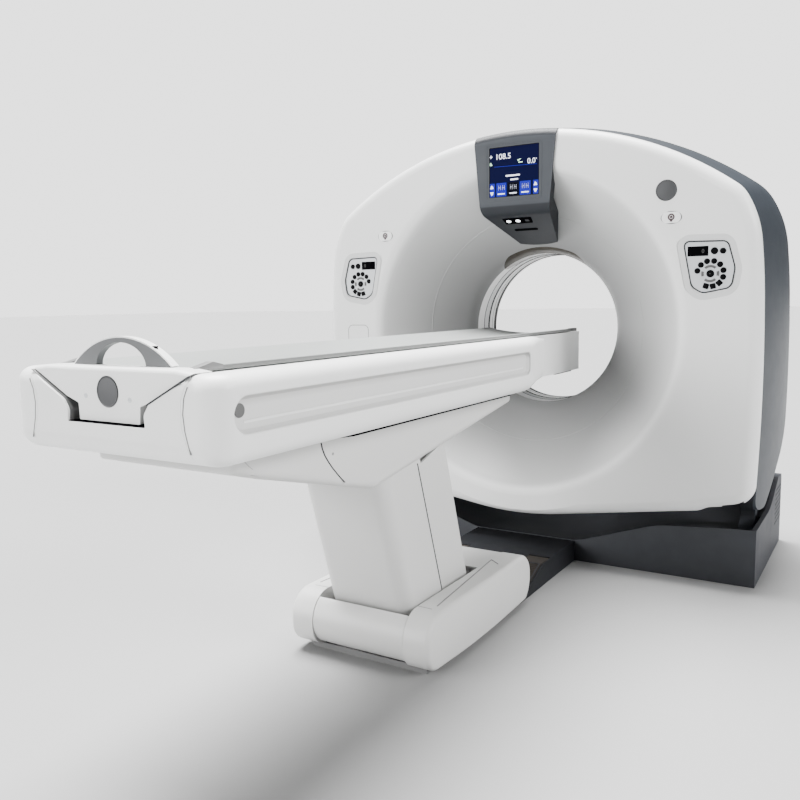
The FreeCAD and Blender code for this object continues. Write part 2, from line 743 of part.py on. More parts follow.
def make_drive():
    """Motor, pulley and the flat belt round the rotor plate."""
    x, z, r = size("pulley_x"), size("pulley_z"), size("pulley_radius")
    motor = rod("75", "180", "Y", ("pulley_x", "frame_y + frame_thickness", "pulley_z"))
    keep(motor, "drive_motor")
    start, depth = size("rotor_plate_y") + 2, size("rotor_plate") - 4
    rim = disc_y(r, start, depth, x, z)
    shaft = disc_y(16, start + depth, size("frame_y") - start - depth + 40, x, z)
    keep(solid(rim.fuse(shaft).removeSplitter()), "drive_pulley")
    outer = belt_loop(size("rotor_radius") + 4.5, r + 4.5, start, depth)
    inner = belt_loop(size("rotor_radius") + 0.5, r + 0.5, start, depth)
    keep(solid(outer.cut(inner)), "drive_belt")


def belt_loop(big, small, start, depth):
    """Solid bounded by an open belt round the rotor and the pulley."""
    a = Vector(0, size("iso_height"), 0)
    b = Vector(size("pulley_x"), size("pulley_z"), 0)
    line = b - a
    tilt = math.acos((big - small) / line.Length)
    heading = math.atan2(line.y, line.x)

    def at(centre, radius, angle):
        return centre + Vector(math.cos(angle), math.sin(angle), 0) * radius

    up, down = heading + tilt, heading - tilt
    edges = [Part.LineSegment(at(a, big, up), at(b, small, up)),
             Part.Arc(at(b, small, up), at(b, small, heading), at(b, small, down)),
             Part.LineSegment(at(b, small, down), at(a, big, down)),
             Part.Arc(at(a, big, down), at(a, big, heading + math.pi), at(a, big, up))]
    face = Part.Face(Part.Wire([e.toShape() for e in edges]))
    face.Placement = Placement(Vector(0, start, 0), Rotation(Vector(1, 0, 0), 90))
    return face.extrude(Vector(0, depth, 0))


def make_brush_block():
    """Brush block on the frame, reaching over the slip ring."""
    block = box("90", "18", "34", ("-45", "frame_y + frame_thickness", "iso_height + 408"))
    foot = box("60", "18", "190", ("-30", "frame_y + frame_thickness", "iso_height + 440"))
    keep(fuse(block, foot), "brush_block")


# ---------------------------------------------------------------------------
# Plinth, base frame and uprights
# ---------------------------------------------------------------------------
def trough(extra):
    """Room under the tilting gantry: a solid of revolution about the tilt axis."""
    centre, side, end = (size(n) + extra for n in
                         ("trough_centre_radius", "trough_side_radius", "trough_end_radius"))
    profile = [(-1100, 0), (-1100, end - 4), (-600, side, 300), (-250, centre, 200),
               (250, centre, 200), (600, side, 300), (1100, end - 4), (1100, 0)]
    edges = [e.toShape() for e in rounded(profile)]
    face = Part.Face(Part.Wire(Part.__sortEdges__(edges)))
    body = face.revolve(Vector(), Vector(1, 0, 0), 360)
    body.translate(Vector(0, 0, size("iso_height")))
    return body


def plinth_side(inset):
    """Side-view outline of the plinth, which rises to a low tower at the rear."""
    front, rear, height = (size(n) for n in ("plinth_front_y", "plinth_rear_y", "plinth_height"))
    low = height - 94
    return [(front + inset, -(inset > 0)), (front + inset, low - inset), (70, low - inset, 400),
            (320, height - inset, 30), (rear - inset, height - inset, 26 - 0.6 * inset),
            (rear - inset, -(inset > 0))]


def side_vents(half):
    """Hexagonal vent holes in a staggered field at the rear of both side walls."""
    pitch, radius = 25, 7
    holes = []
    for row in range(8):
        for column in range(8):
            y = 240 + pitch * column + pitch / 2 * (row % 2)
            z = 128 + pitch * 0.87 * row
            hexagon = [(y + radius * math.cos(math.radians(a)), z + radius * math.sin(math.radians(a)))
                       for a in range(30, 390, 60)]
            if y < size("plinth_rear_y") - 20:
                holes.append(prism_x(hexagon, -half - 20, 40))
                holes.append(prism_x(hexagon, half - 20, 40))
    return holes


def make_plinth():
    """Charcoal plinth cover, open below, with the trough and the vents in its sides."""
    half, wall = size("plinth_half_width"), size("plinth_wall")
    outer = prism_x(plinth_side(0), -half, 2 * half)
    corner = block_at((900, 300, 0), (1100, 600, 400))
    corners = corner.fuse(corner.mirror(Vector(), Vector(1, 0, 0)))
    reach = size("trough_half_width")
    room = trough(0).common(block_at((-reach, -900, 0), (reach, 900, 2000)))
    outer = outer.cut(room.cut(corners))
    inner = prism_x(plinth_side(wall), wall - half, 2 * (half - wall)).cut(trough(wall))
    shell = outer.cut(inner)
    inner_x = size("upright_inner_x")
    slot = block_at((inner_x - 6, -136, 100), (inner_x + size("upright_thickness") + 6, 136, 400))
    shell = shell.cut(slot.fuse(slot.mirror(Vector(), Vector(1, 0, 0))))
    keep(solid(shell.cut(Part.makeCompound(side_vents(half))).removeSplitter()), "plinth_cover")


def make_base_frame():
    """Floor plate, side rails and cross tubes that carry the uprights."""
    plate = box("2 * plinth_half_width - 24", "plinth_rear_y - plinth_front_y - 24", "8",
                ("12 - plinth_half_width", "plinth_front_y + 12", "0"))
    rail = box("100", "700", "80", ("upright_inner_x - 20", "-310", "8"))
    front = box("1700", "60", "38", ("-850", "-318", "8"))
    rear = box("1700", "70", "60", ("-850", "345", "8"))
    keep(fuse(plate, rail, mirrored(rail), front, rear), "base_frame")


def make_uprights():
    """Cast uprights, waisted where the tilting covers pass them."""
    foot, iso = 88, size("iso_height")
    right_side = [(150, foot), (150, iso - 890, 20), (30, iso - 830, 20),
                  (30, iso - 795, 20), (88, iso - 690, 60), (92, iso)]
    left_side = [(-u, v) + tuple(r) for u, v, *r in reversed(right_side)]
    web = pad("X", rounded(right_side + left_side), "upright_thickness", "upright_inner_x")
    hub = rod("hub_radius", "upright_thickness", "X", ("upright_inner_x", "0", "iso_height"))
    bore = rod("trunnion_radius + 0.4", "upright_thickness", "X",
               ("upright_inner_x", "0", "iso_height"))
    right = cut(fuse(web, hub), bore)
    keep(right, "upright_right")
    keep(mirrored(right), "upright_left")
    gearbox = rod("80", "34", "X", ("-upright_inner_x - upright_thickness - 34", "0",
                                    "iso_height"))
    keep(gearbox, "tilt_gearbox")


def make_dock():
    """Dark cover between plinth and table, with a pedal let into each side."""
    front, end, height = size("plinth_front_y") - 1, size("dock_end_y"), size("dock_height")
    outline = [(front, 0), (front, height), (-720, height, 30), (end, 8), (end, 0)]
    block = slab_x(rounded(outline), "dock_half_width")
    inside = slab_x(rounded([(front - 6, -1), (front - 6, height - 5), (-718, height - 5, 30),
                             (end + 20, 8), (end + 20, -1)]), "dock_half_width - 5")
    walls = common(box("106", "226", "100", ("133", "-841", "0")), block)
    well = box("96", "216", "100", ("138", "-836", "5"))
    shell = fuse(cut(block, inside), walls, mirrored(walls))
    keep(cut(shell, well, mirrored(well)), "dock_cover")
    hinge_y = size("pedal_hinge_y")
    plate = pad("X", rounded([(hinge_y, 78), (hinge_y, 87, 3), (-716, 92, 10), (-832, 50, 4),
                              (-832, 42, 3), (-716, 80, 8)]), "90", "141")
    barrel = rod("6", "90", "X", ("141", "pedal_hinge_y", "pedal_hinge_z"))
    pedal = fuse(plate, barrel)
    keep(pedal, "foot_pedal_right")
    keep(mirrored(pedal), "foot_pedal_left")


# ---------------------------------------------------------------------------
# Table base and lifting arms
# ---------------------------------------------------------------------------
def make_table_base():
    """Base plate, rounded side covers and the deck between them."""
    plate = box("2 * plate_half_width", "plate_rear_y - plate_front_y", "plate_height",
                ("-plate_half_width", "plate_front_y", "0"))
    cheek = pad("X", rounded([(-1676, 134, 20), (-1676, 84, 20), (-1575, 50, 10), (-1575, 16),
                              (-1260, 16), (-1260, 134, 20)]), "8", "cap_inner_x - 8")
    bores = [rod("shaft_radius", "2 * cap_inner_x", "X", ("-cap_inner_x", name, "pivot_z"))
             for name in ("front_pivot_y", "rear_pivot_y")]
    keep(cut(fuse(plate, cheek, mirrored(cheek)), *bores), "table_base_plate")
    y1, y2, z, r = size("front_pivot_y"), size("cap_rear_y"), size("pivot_z"), size("cap_radius")
    stadium = [(y1 - r, z - r, r - 0.01), (y2 + r, z - r, r - 0.01), (y2 + r, z + r, r - 0.01),
               (y1 - r, z + r, r - 0.01)]
    side = prism_x(stadium, size("cap_inner_x"), size("base_half_width") - size("cap_inner_x"))
    rim = [e for e in side.Edges if all(abs(v.Point.x - size("base_half_width")) < 0.01
                                        for v in e.Vertexes)]
    side = side.makeChamfer(14, rim)
    crease = [e for e in side.Edges if e.BoundBox.XMax - e.BoundBox.XMin < 0.01
              and e.BoundBox.XMin > size("cap_inner_x") + 1]
    side = side.makeChamfer(5, crease)
    inner = [(y1 - r + 7, z - r + 7, r - 7.01), (y2 + r - 7, z - r + 7, r - 7.01),
             (y2 + r - 7, z + r - 7, r - 7.01), (y1 - r + 7, z + r - 7, r - 7.01)]
    hollow = prism_x(inner, size("cap_inner_x") - 1,
                     size("base_half_width") - size("cap_inner_x") - 7)
    right = solid(side.cut(hollow).cut(block_at((0, -2000, -1), (400, 0, z - r + 0.01))))
    keep(right, "base_cover_right")
    keep(mirrored(right), "base_cover_left")
    make_deck(y2, z, r)


def make_deck(rear, z, r):
    """Rear roll and flat deck behind the arms, as one moulded cover."""
    outer = [(-1196, z + r), (rear + r, z + r, r - 0.01), (rear + r, z - r + 1, r - 2),
             (rear, z - r + 1), (rear, z - r + 7), (rear + r - 6, z - r + 7, r - 8),
             (rear + r - 6, z + r - 6, r - 7), (-1196, z + r - 6)]
    half = size("cap_inner_x")
    keep(solid(prism_x(outer, -half, 2 * half)), "base_deck_cover")


def lean_point(y, z, along, behind):
    """A point given along and square to a leaning arm, from its pivot."""
    lean = math.radians(size("arm_lean"))
    return (y - along * math.sin(lean) + behind * math.cos(lean),
            z + along * math.cos(lean) + behind * math.sin(lean))


def arm_outline(pivot_y, corners):
    """A side-view outline whose corners are given along and behind an arm."""
    z = size("pivot_z")
    return [lean_point(pivot_y, z, a, b) + tuple(r) for a, b, *r in corners]


def make_front_arm():
    """Front arm: a deep channel, open to the rear, that the rear arm folds into."""
    length, depth, wall = size("arm_length"), size("arm_depth"), size("arm_wall")
    half = size("arm_half_width")
    y = size("front_pivot_y")
    outer = prism_x(arm_outline(y, [(-60, 0), (length + 45, 0, 30), (length + 45, 90, 30),
                                    (length - 50, depth), (-60, depth)]), -half, 2 * half)
    front = [e for e in outer.Edges if abs(e.BoundBox.XMax - e.BoundBox.XMin) < 0.1
             and abs(abs(e.BoundBox.XMax) - half) < 0.1 and e.Length > length]
    front = sorted(front, key=lambda e: e.BoundBox.YMin)[:2]
    outer = outer.makeFillet(26, front)
    cavity = prism_x(arm_outline(y, [(-80, wall + 22), (length - 60, wall + 22),
                                     (length - 60, depth + 60), (-80, depth + 60)]),
                     wall - half, 2 * (half - wall))
    slim = prism_x(arm_outline(y, [(60, wall), (length - 60, wall), (length - 60, depth),
                                   (60, depth)]), wall + 18 - half, 2 * (half - wall - 18))
    top = prism_x(arm_outline(y, [(length - 61, wall + 22), (length + 60, wall + 22),
                                  (length + 60, depth + 9), (length - 61, depth + 9)]),
                  wall + 10 - half, 2 * (half - wall - 10))
    shell = outer.cut(cavity.fuse([slim, top]))
    for end in (0, length):
        py, pz = lean_point(y, size("pivot_z"), end, 0)
        boss = Part.makeCylinder(35, 2 * half, Vector(-half, py, pz), Vector(1, 0, 0))
        shell = shell.fuse(boss)
        bore = Part.makeCylinder(size("shaft_radius") + size("shaft_clearance"), 2 * half + 2,
                                 Vector(-half - 1, py, pz), Vector(1, 0, 0))
        shell = shell.cut(bore)
    keep(solid(shell.removeSplitter()), "front_arm")


def make_rear_arm():
    """Rear arm: a closed box with round ends, narrow enough to fold into the front arm."""
    length, half, depth = (size(n) for n in ("arm_length", "rear_arm_half_width",
                                             "rear_arm_half_depth"))
    y, z, wall = size("rear_pivot_y"), size("pivot_z"), size("arm_wall")
    r = depth - 0.01
    outer = prism_x(arm_outline(y, [(-depth, -depth, r), (length + depth, -depth, r),
                                    (length + depth, depth, r), (-depth, depth, r)]),
                    -half, 2 * half)
    inner = prism_x(arm_outline(y, [(-depth - 9, wall - depth), (length + depth + 9, wall - depth),
                                    (length + depth + 9, depth - wall), (-depth - 9, depth - wall)]),
                    wall - half, 2 * (half - wall))
    shell = outer.cut(inner)
    step = prism_x(arm_outline(y, [(length - 52, -2 * depth), (length + 2 * depth, -2 * depth),
                                   (length + 2 * depth, 2 * depth), (length - 52, 2 * depth)]),
                   -half - 1, half - 121)
    shell = shell.cut(step).cut(step.mirror(Vector(), Vector(1, 0, 0)))
    head = prism_x(arm_outline(y, [(length - 70, -depth), (length + depth, -depth, r),
                                   (length + depth, depth, r), (length - 70, depth)]), -121, 12)
    shell = shell.fuse([head, head.mirror(Vector(), Vector(1, 0, 0))])
    bores = []
    for end in (0, length):
        py, pz = lean_point(y, z, end, 0)
        knuckle = Part.makeCylinder(46, 244, Vector(-122, py, pz), Vector(1, 0, 0))
        shell = shell.fuse(knuckle) if end else shell
        bores.append(Part.makeCylinder(size("shaft_radius") + size("shaft_clearance"),
                                       2 * half + 2, Vector(-half - 1, py, pz), Vector(1, 0, 0)))
    keep(solid(shell.cut(bores[0]).cut(bores[1])), "rear_arm")
    motor = rod("62", "200", "X", ("-100", "rear_pivot_y", "pivot_z"))
    bore = rod("shaft_radius", "200", "X", ("-100", "rear_pivot_y", "pivot_z"))
    keep(cut(motor, bore), "lift_gearmotor")


def make_shafts():
    """The four pivot shafts of the parallelogram."""
    lower = [rod("shaft_radius", "2 * cap_inner_x", "X", ("-cap_inner_x", name, "pivot_z"))
             for name in ("front_pivot_y", "rear_pivot_y")]
    keep(group(*lower), "lower_pivot_shafts")
    length = size("arm_length")
    uppers = []
    for name, half in (("front_pivot_y", 174), ("rear_pivot_y", 146)):
        y, z = lean_point(size(name), size("pivot_z"), length, 0)
        uppers.append(Part.makeCylinder(size("shaft_radius"), 2 * half, Vector(-half, y, z),
                                        Vector(1, 0, 0)))
    keep(solid(Part.makeCompound(uppers)), "upper_pivot_shafts")


def make_roll_cover():
    """Round knuckle cover of the front arm, concentric with its lower pivot."""
    y, z = size("front_pivot_y"), size("pivot_z")
    r = size("cap_radius") - 2
    half = size("cap_inner_x") - 2
    sector = []
    ring = Part.makeCylinder(r, 2 * half, Vector(-half, y, z), Vector(1, 0, 0))
    ring = ring.cut(Part.makeCylinder(r - 6, 2 * half, Vector(-half, y, z), Vector(1, 0, 0)))
    for angle in (122, 250):
        sector.append((y + 2 * r * math.cos(math.radians(angle)),
                       z + 2 * r * math.sin(math.radians(angle))))
    wedge = prism_x([(y, z), sector[0], (y - 3 * r, z + 1.2 * r), (y - 3 * r, z - 2 * r),
                     sector[1]], -half, 2 * half)
    webs = []
    for x in (160, -166):
        disc = Part.makeCylinder(r - 3, 6, Vector(x, y, z), Vector(1, 0, 0))
        webs.append(disc.cut(Part.makeCylinder(30, 6, Vector(x, y, z), Vector(1, 0, 0))))
    keep(solid(ring.common(wedge).fuse([w.common(wedge) for w in webs]).removeSplitter()),
         "front_roll_cover")


# ---------------------------------------------------------------------------
# Table top
# ---------------------------------------------------------------------------
def make_chassis():
    """Long rails with cross members, cover brackets, guide bars and pivot cheeks."""
    rail = box("30", "1550", "80", ("182", "-2560", "842"))
    crosses = [box("2 * 182", "60", "50", ("-182", y, "846")) for y in ("-2540", "-2160", "-1140")]
    hangers = [box("2 * saddle_half_width - 12", "30", "47", ("6 - saddle_half_width", y, "795"))
               for y in ("-2340", "-1950", "-1200")]
    brackets = [box("90", "50", "16", ("210", y, "table_bottom + 12"))
                for y in ("-2420", "-1900", "-1400")]
    guide = box("30", "480", "40", ("160", "-1100", "885"))
    shoe = box("14", "60", "40", ("nose_half_width - 8.4 - 14", "-680", "885"))
    length = size("arm_length")
    fy, fz = lean_point(size("front_pivot_y"), size("pivot_z"), length, 0)
    ry, _ = lean_point(size("rear_pivot_y"), size("pivot_z"), length, 0)
    cheek = pad("X", rounded([(fy - 36, fz - 36, 34), (fy + 36, fz - 36, 34), (fy + 90, 842),
                              (fy - 60, 842)]), "12", "162")
    flange = box("50", "150", "8", ("162", "%g" % (fy - 60), "834"))
    clevis = pad("X", rounded([(ry - 34, fz - 34, 33), (ry + 34, fz - 34, 33), (ry + 34, 800),
                               (ry + 60, 822, 10), (-1100, 822), (-1100, 896), (ry - 34, 896, 30)]),
                 "20", "126")
    bores = [Part.makeCylinder(size("shaft_radius"), 400, Vector(-200, y, fz), Vector(1, 0, 0))
             for y in (fy, ry)]
    sides = [rail, cheek, flange, clevis, guide, shoe] + brackets
    frame = fuse(*(crosses + hangers + sides + [mirrored(side) for side in sides]))
    keep(cut(frame, solid(Part.makeCompound(bores))), "table_chassis")


def saddle_outline(inset):
    """Side-view outline of the saddle covers under the table."""
    top = size("saddle_top") - inset
    return [(-2490 + inset, top), (-2490 + inset, 799 + inset, 8), (-2400, 772 + inset, 300),
            (-1938 + inset * 0.3, 654 + inset * 1.1, 70),
            (-1016 - inset, 794 + inset * 1.1, 8), (-1016 - inset, top)]


def make_saddle():
    """Front and rear saddle covers, open where the arms pass through the bottom."""
    half = size("saddle_half_width")
    outer = prism_x(saddle_outline(0), -half, 2 * half)
    long_low = [e for e in outer.Edges if e.Length > 300 and e.BoundBox.XMax - e.BoundBox.XMin < 1
                and e.BoundBox.ZMin < 800]
    outer = outer.makeFillet(22, long_low)
    inner = prism_x([(-2434, 900), (-2434, 788), (-1938, 661, 66), (-1022, 801), (-1022, 900)],
                    6 - half, 2 * (half - 6))
    slot = block_at((-180, -1895, 500), (180, -1268, 780))
    shell = outer.cut(inner).cut(slot)
    seam = [(-2183, 840), (-2150, 760, 160), (-2062, 600), (-2600, 600), (-2600, 840)]
    front = prism_x(seam, -300, 600)
    keep(solid(shell.common(front)), "saddle_cover_front")
    keep(solid(shell.cut(front)), "saddle_cover_rear")


# Front-view outlines (x, z) are listed from top to bottom on the right-hand side.
CHANNEL_FOOT_Y, CHANNEL_END_Y = -2594, -1083
CHANNEL_LOW_Z, CHANNEL_HIGH_Z = 908, 986
SEAM_CORNERS = ((262, 1040), (231, 980, 60), (231, 925, 60), (258, 843))
END_CORNERS = ((206, 1040), (255, 1034), (137, 972, 14), (99, 959, 5), (97, 921.5, 3))
SLOT_CORNERS = ((262, 1100), (262, 1032.5), (222, 1011.5), (222, 700))
NOTCH_CORNERS = ((278, 1046), (256, 1030), (138, 967, 26), (122, 944, 16), (125, 917.5, 4))
FOOT_DEPTH, SEAM_GAP = 70, 0.8
# Half span and rise of the handle's two arches, and the button on its shoulder.
HANDLE_OUTER, HANDLE_INNER = (156, 61), (70, 47)
BUTTON_X, BUTTON_TOP, BUTTON_HALF = 97, 1084, (11, 4.5)
NOSE_GAP = 3


def table_plan():
    """Plan of the table covers: round corners at the foot, drawn in at the gantry end."""
    w, foot, end = size("table_half_width"), size("table_foot_y"), size("table_end_y")
    tip = size("table_slot") + 10
    right = [(w, foot, 60), (w, end - 360, 200), (tip + 10, end - 60, 140), (tip, end)]
    return right + [(-c[0],) + tuple(c[1:]) for c in reversed(right)]


def prism_z(corners, low, high):
    """A plan outline extruded upwards."""
    edges = [e.toShape() for e in rounded(corners)]
    face = Part.Face(Part.Wire(Part.__sortEdges__(edges)))
    face.Placement = Placement(Vector(0, 0, low), Rotation())
    return face.extrude(Vector(0, 0, high - low))


def table_form():
    """Outer form of the table covers: a block with rounded top, bottom and foot corners."""
    low, crest, end = size("table_bottom"), size("table_crest"), size("table_end_y")
    form = prism_z(table_plan(), low, crest)
    for height, radius in ((low, 45), (crest, 34)):
        rim = [e for e in form.Edges if all(abs(v.Point.z - height) < 0.01 for v in e.Vertexes)
               and e.BoundBox.YMin < end - 1]
        form = form.makeFillet(radius, rim)
    return form


def cut_channels(form):
    """Sink the long round-ended channel into both sides and bevel its edges."""
    w, depth = size("table_half_width"), size("channel_depth")
    outline = [(CHANNEL_FOOT_Y, CHANNEL_LOW_Z, 38), (CHANNEL_END_Y, CHANNEL_LOW_Z, 26),
               (CHANNEL_END_Y, CHANNEL_HIGH_Z, 26), (CHANNEL_FOOT_Y, CHANNEL_HIGH_Z, 38)]
    channel = prism_x(outline, w - depth, depth + 20)
    floor = [e for e in channel.Edges
             if all(abs(v.Point.x - (w - depth)) < 0.01 for v in e.Vertexes)]
    channel = channel.makeChamfer(depth * 0.5, floor)
    form = form.cut(channel.fuse(channel.mirror(Vector(), Vector(1, 0, 0))))
    rims = [e for e in form.Edges if all(abs(abs(v.Point.x) - w) < 0.01 for v in e.Vertexes)
            and CHANNEL_LOW_Z - 1 < e.BoundBox.ZMin and e.BoundBox.ZMax < CHANNEL_HIGH_Z + 1]
    return form.makeChamfer(3, rims)


def both_hands(corners):
    """A closed outline from its right half, listed from top to bottom."""
    return list(corners) + [(-c[0],) + tuple(c[1:]) for c in reversed(corners)]


def make_table_covers():
    """Side covers with the long channel, and the foot cover between them."""
    foot, end = size("table_foot_y"), size("table_end_y")
    form = cut_channels(table_form())
    slot = prism_y(both_hands(SLOT_CORNERS), foot - 5, end - foot + 10)
    cavity = block_at((-305, foot + 45, 855), (305, end - 420, 1000))
    middle = prism_y(both_hands(SEAM_CORNERS), foot - 5, FOOT_DEPTH + 5)
    inside = prism_y([(c[0] - math.copysign(SEAM_GAP, c[0]),) + tuple(c[1:])
                      for c in both_hands(SEAM_CORNERS)], foot - 5, FOOT_DEPTH + 4)
    sides = form.cut(slot).cut(cavity).cut(middle)
    right = solid(sides.common(block_at((0, foot - 5, 700), (400, end + 5, 1200))))
    keep(right, "table_cover_right")
    keep(mirrored(right), "table_cover_left")
    notch = prism_y(both_hands(NOTCH_CORNERS), foot - 5, FOOT_DEPTH + 10)
    shell = form.common(inside).cut(cavity).cut(notch)
    keep(solid(shell.removeSplitter()), "foot_cover")


def make_cradle():
    """Dished carbon cradle, its end block, the pull handle and the latch button."""
    half, top, thick = size("cradle_half_width"), size("cradle_top"), size("cradle_thickness")
    dish = size("cradle_dish")
    edges = [Part.LineSegment(Vector(-half, top, 0), Vector(-half + 10, top, 0)),
             Part.Arc(Vector(-half + 10, top, 0), Vector(0, top - dish, 0),
                      Vector(half - 10, top, 0)),
             Part.LineSegment(Vector(half - 10, top, 0), Vector(half, top, 0)),
             Part.LineSegment(Vector(half, top, 0), Vector(half, top - 10, 0)),
             Part.Arc(Vector(half, top - 10, 0), Vector(0, top - thick, 0),
                      Vector(-half, top - 10, 0)),
             Part.LineSegment(Vector(-half, top - 10, 0), Vector(-half, top, 0))]
    keep(pad("Y", edges, "cradle_end_y - cradle_foot_y", "cradle_foot_y"), "cradle")
    make_cradle_end()
    make_handle()


def make_cradle_end():
    """End block that fills the V of the foot cover and carries the handle."""
    front, back = size("end_block_y"), size("cradle_foot_y")
    shape = prism_y(both_hands(END_CORNERS), front, back - front)
    rim = [e for e in shape.Edges if all(abs(v.Point.y - front) < 0.01 for v in e.Vertexes)
           and e.BoundBox.ZMin > 1030]
    keep(solid(shape.makeFillet(9, rim)), "cradle_end_block")


def arch(half_span, rise):
    """Edges of an arch standing on the end block: an arc, from right foot to left foot."""
    base = size("end_block_top")
    return Part.Arc(Vector(half_span, base, 0), Vector(0, base + rise, 0),
                    Vector(-half_span, base, 0))


def make_handle():
    """Arched handle over the end block, and its oblong latch button."""
    base = size("end_block_top")
    outer, inner = HANDLE_OUTER, HANDLE_INNER
    edges = [arch(*outer), Part.LineSegment(Vector(-outer[0], base, 0), Vector(-inner[0], base, 0)),
             arch(*inner), Part.LineSegment(Vector(inner[0], base, 0), Vector(outer[0], base, 0))]
    bow = pad("Y", edges, "handle_depth", "handle_y")
    middle = size("handle_y") + size("handle_depth") / 2
    well = button_form(middle, 0.3, 1062, 60)
    keep(cut(bow, solid(well)), "cradle_handle")
    keep(solid(button_form(middle, 0, 1066, BUTTON_TOP - 1066)), "release_button")


def button_form(y, grow, low, depth):
    """The button's round-ended oblong, or with a clearance its well, standing upright."""
    long_side, short_side = (half + grow for half in BUTTON_HALF)
    corners = [(BUTTON_X + i * long_side, y + j * short_side, short_side - 0.01)
               for i, j in ((-1, -1), (1, -1), (1, 1), (-1, 1))]
    return prism_z(corners, low, low + depth)


def make_nose():
    """Intermediate support: a boxed nose whose dished top follows the cradle's underside."""
    half, low, top = size("nose_half_width"), size("nose_bottom"), size("nose_top")
    start, end = size("nose_start_y"), size("nose_end_y")
    outer = prism_z([(half, start), (half, end, 30), (-half, end, 30), (-half, start)], low, top)
    cradle_low = size("cradle_top") - size("cradle_thickness")
    rise = size("cradle_thickness") - 10
    span = size("cradle_half_width")
    radius = (span ** 2 + rise ** 2) / (2 * rise)
    dish = disc_y(radius, start - 1, end - start + 2, 0, cradle_low - NOSE_GAP + radius)
    inner = block_at((8 - half, start - 1, low + 8), (half - 8, end - 8, cradle_low - 14))
    keep(solid(outer.cut(dish).cut(inner)), "support_nose")


def build():
    """Build every sub-part."""
    make_plinth()
    make_base_frame()
    make_uprights()
    make_dock()
    make_gantry_covers()
    make_tilt_frame()
    make_bearing()
    make_rotor()
    make_drive()
    make_brush_block()
    make_table_base()
    make_front_arm()
    make_rear_arm()
    make_shafts()
    make_roll_cover()
    make_chassis()
    make_saddle()
    make_table_covers()
    make_cradle()
    make_nose()
    doc.recompute()


def check():
    """Stop before anything is written if an object or a shape is not sound."""
    for thing in doc.Objects:
        if "Invalid" in thing.State or "Error" in thing.State:
            raise RuntimeError("%s (%s) did not recompute" % (thing.Name, thing.Label))
    unsound = [label for label, thing in parts.items() if thing.Shape.isNull()
               or not thing.Shape.isValid() or not thing.Shape.Solids]
    if unsound:
        raise RuntimeError("no sound shape for " + ", ".join(unsound))


def write():
    """Write each sub-part to its own file."""
    os.makedirs("parts", exist_ok=True)
    for label, thing in parts.items():
        thing.Shape.exportStep("parts/%s.step" % label)
        box_ = thing.Shape.BoundBox
        print("%-22s %d solids %9.0f cm3  x %7.1f %7.1f  y %7.1f %7.1f  z %7.1f %7.1f" % (
            label, len(thing.Shape.Solids), thing.Shape.Volume / 1000, box_.XMin, box_.XMax,
            box_.YMin, box_.YMax, box_.ZMin, box_.ZMax))


build()
check()
write()
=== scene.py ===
"""Finishes and fine pieces of a computed-tomography scanner, in the CAD frame.

The bore runs along Y, the patient table stands on the -Y side, and the floor is z = 0.
Meshes are drawn in millimetres, and Bench.place brings them to metres. Finishes read
Object coordinates, so the lengths in them are metres.
"""

import json
import logging
import math
from collections.abc import Sequence
from dataclasses import dataclass, field
from enum import Enum

import bmesh
import bpy
from mathutils import Matrix, Vector

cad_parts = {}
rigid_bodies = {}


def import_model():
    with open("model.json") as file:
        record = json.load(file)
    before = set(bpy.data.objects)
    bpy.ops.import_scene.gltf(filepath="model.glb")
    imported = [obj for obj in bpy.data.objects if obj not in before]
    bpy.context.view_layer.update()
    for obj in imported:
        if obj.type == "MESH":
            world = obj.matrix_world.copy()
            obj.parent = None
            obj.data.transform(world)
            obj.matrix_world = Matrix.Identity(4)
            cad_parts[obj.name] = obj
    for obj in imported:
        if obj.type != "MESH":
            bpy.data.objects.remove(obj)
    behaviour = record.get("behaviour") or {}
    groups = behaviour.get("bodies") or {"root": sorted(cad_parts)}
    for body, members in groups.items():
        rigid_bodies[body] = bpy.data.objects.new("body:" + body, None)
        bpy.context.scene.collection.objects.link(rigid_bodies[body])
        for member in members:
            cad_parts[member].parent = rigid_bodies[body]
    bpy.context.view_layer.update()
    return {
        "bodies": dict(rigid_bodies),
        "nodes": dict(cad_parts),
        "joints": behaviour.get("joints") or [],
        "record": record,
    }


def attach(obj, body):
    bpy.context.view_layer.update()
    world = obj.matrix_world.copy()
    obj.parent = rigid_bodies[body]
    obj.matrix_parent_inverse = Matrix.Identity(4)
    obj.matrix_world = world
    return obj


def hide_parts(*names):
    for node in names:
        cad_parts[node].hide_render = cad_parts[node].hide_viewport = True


log = logging.getLogger("ct_scanner")

Colour = tuple[float, float, float]
Place = tuple[float, float, float]          # x, y and z
Point = tuple[float, float]                 # x and z in front view, or a start and an end
Corner = tuple[float, ...]                  # x and z, with a rounding where there is one
Edges = tuple[float, float, float, float]   # left, low, right and high
Mesh = bmesh.types.BMesh

MM = 0.001                     # one millimetre in metres
TOUCH = 1e-4                   # closer than this counts as the same place
ISO_HEIGHT = 1036.0            # the bore's axis above the floor
FACE = -465.0                  # y of the front cover's flat
KEYPAD = (808.0, 1290.0)       # the right-hand panel's own origin
ARM_PIVOT = (-1632.0, 114.0)   # y and z of the front arm's lower pivot
ARM_LEAN = 17.6                # the arm's lean at rest, in degrees


class Side(Enum):
    """Which side of the gantry a piece sits on, as the sign of its x."""

    LEFT = -1
    RIGHT = 1

    @property
    def word(self) -> str:
        """The side's name, as the CAD nodes spell it."""
        return self.name.lower()


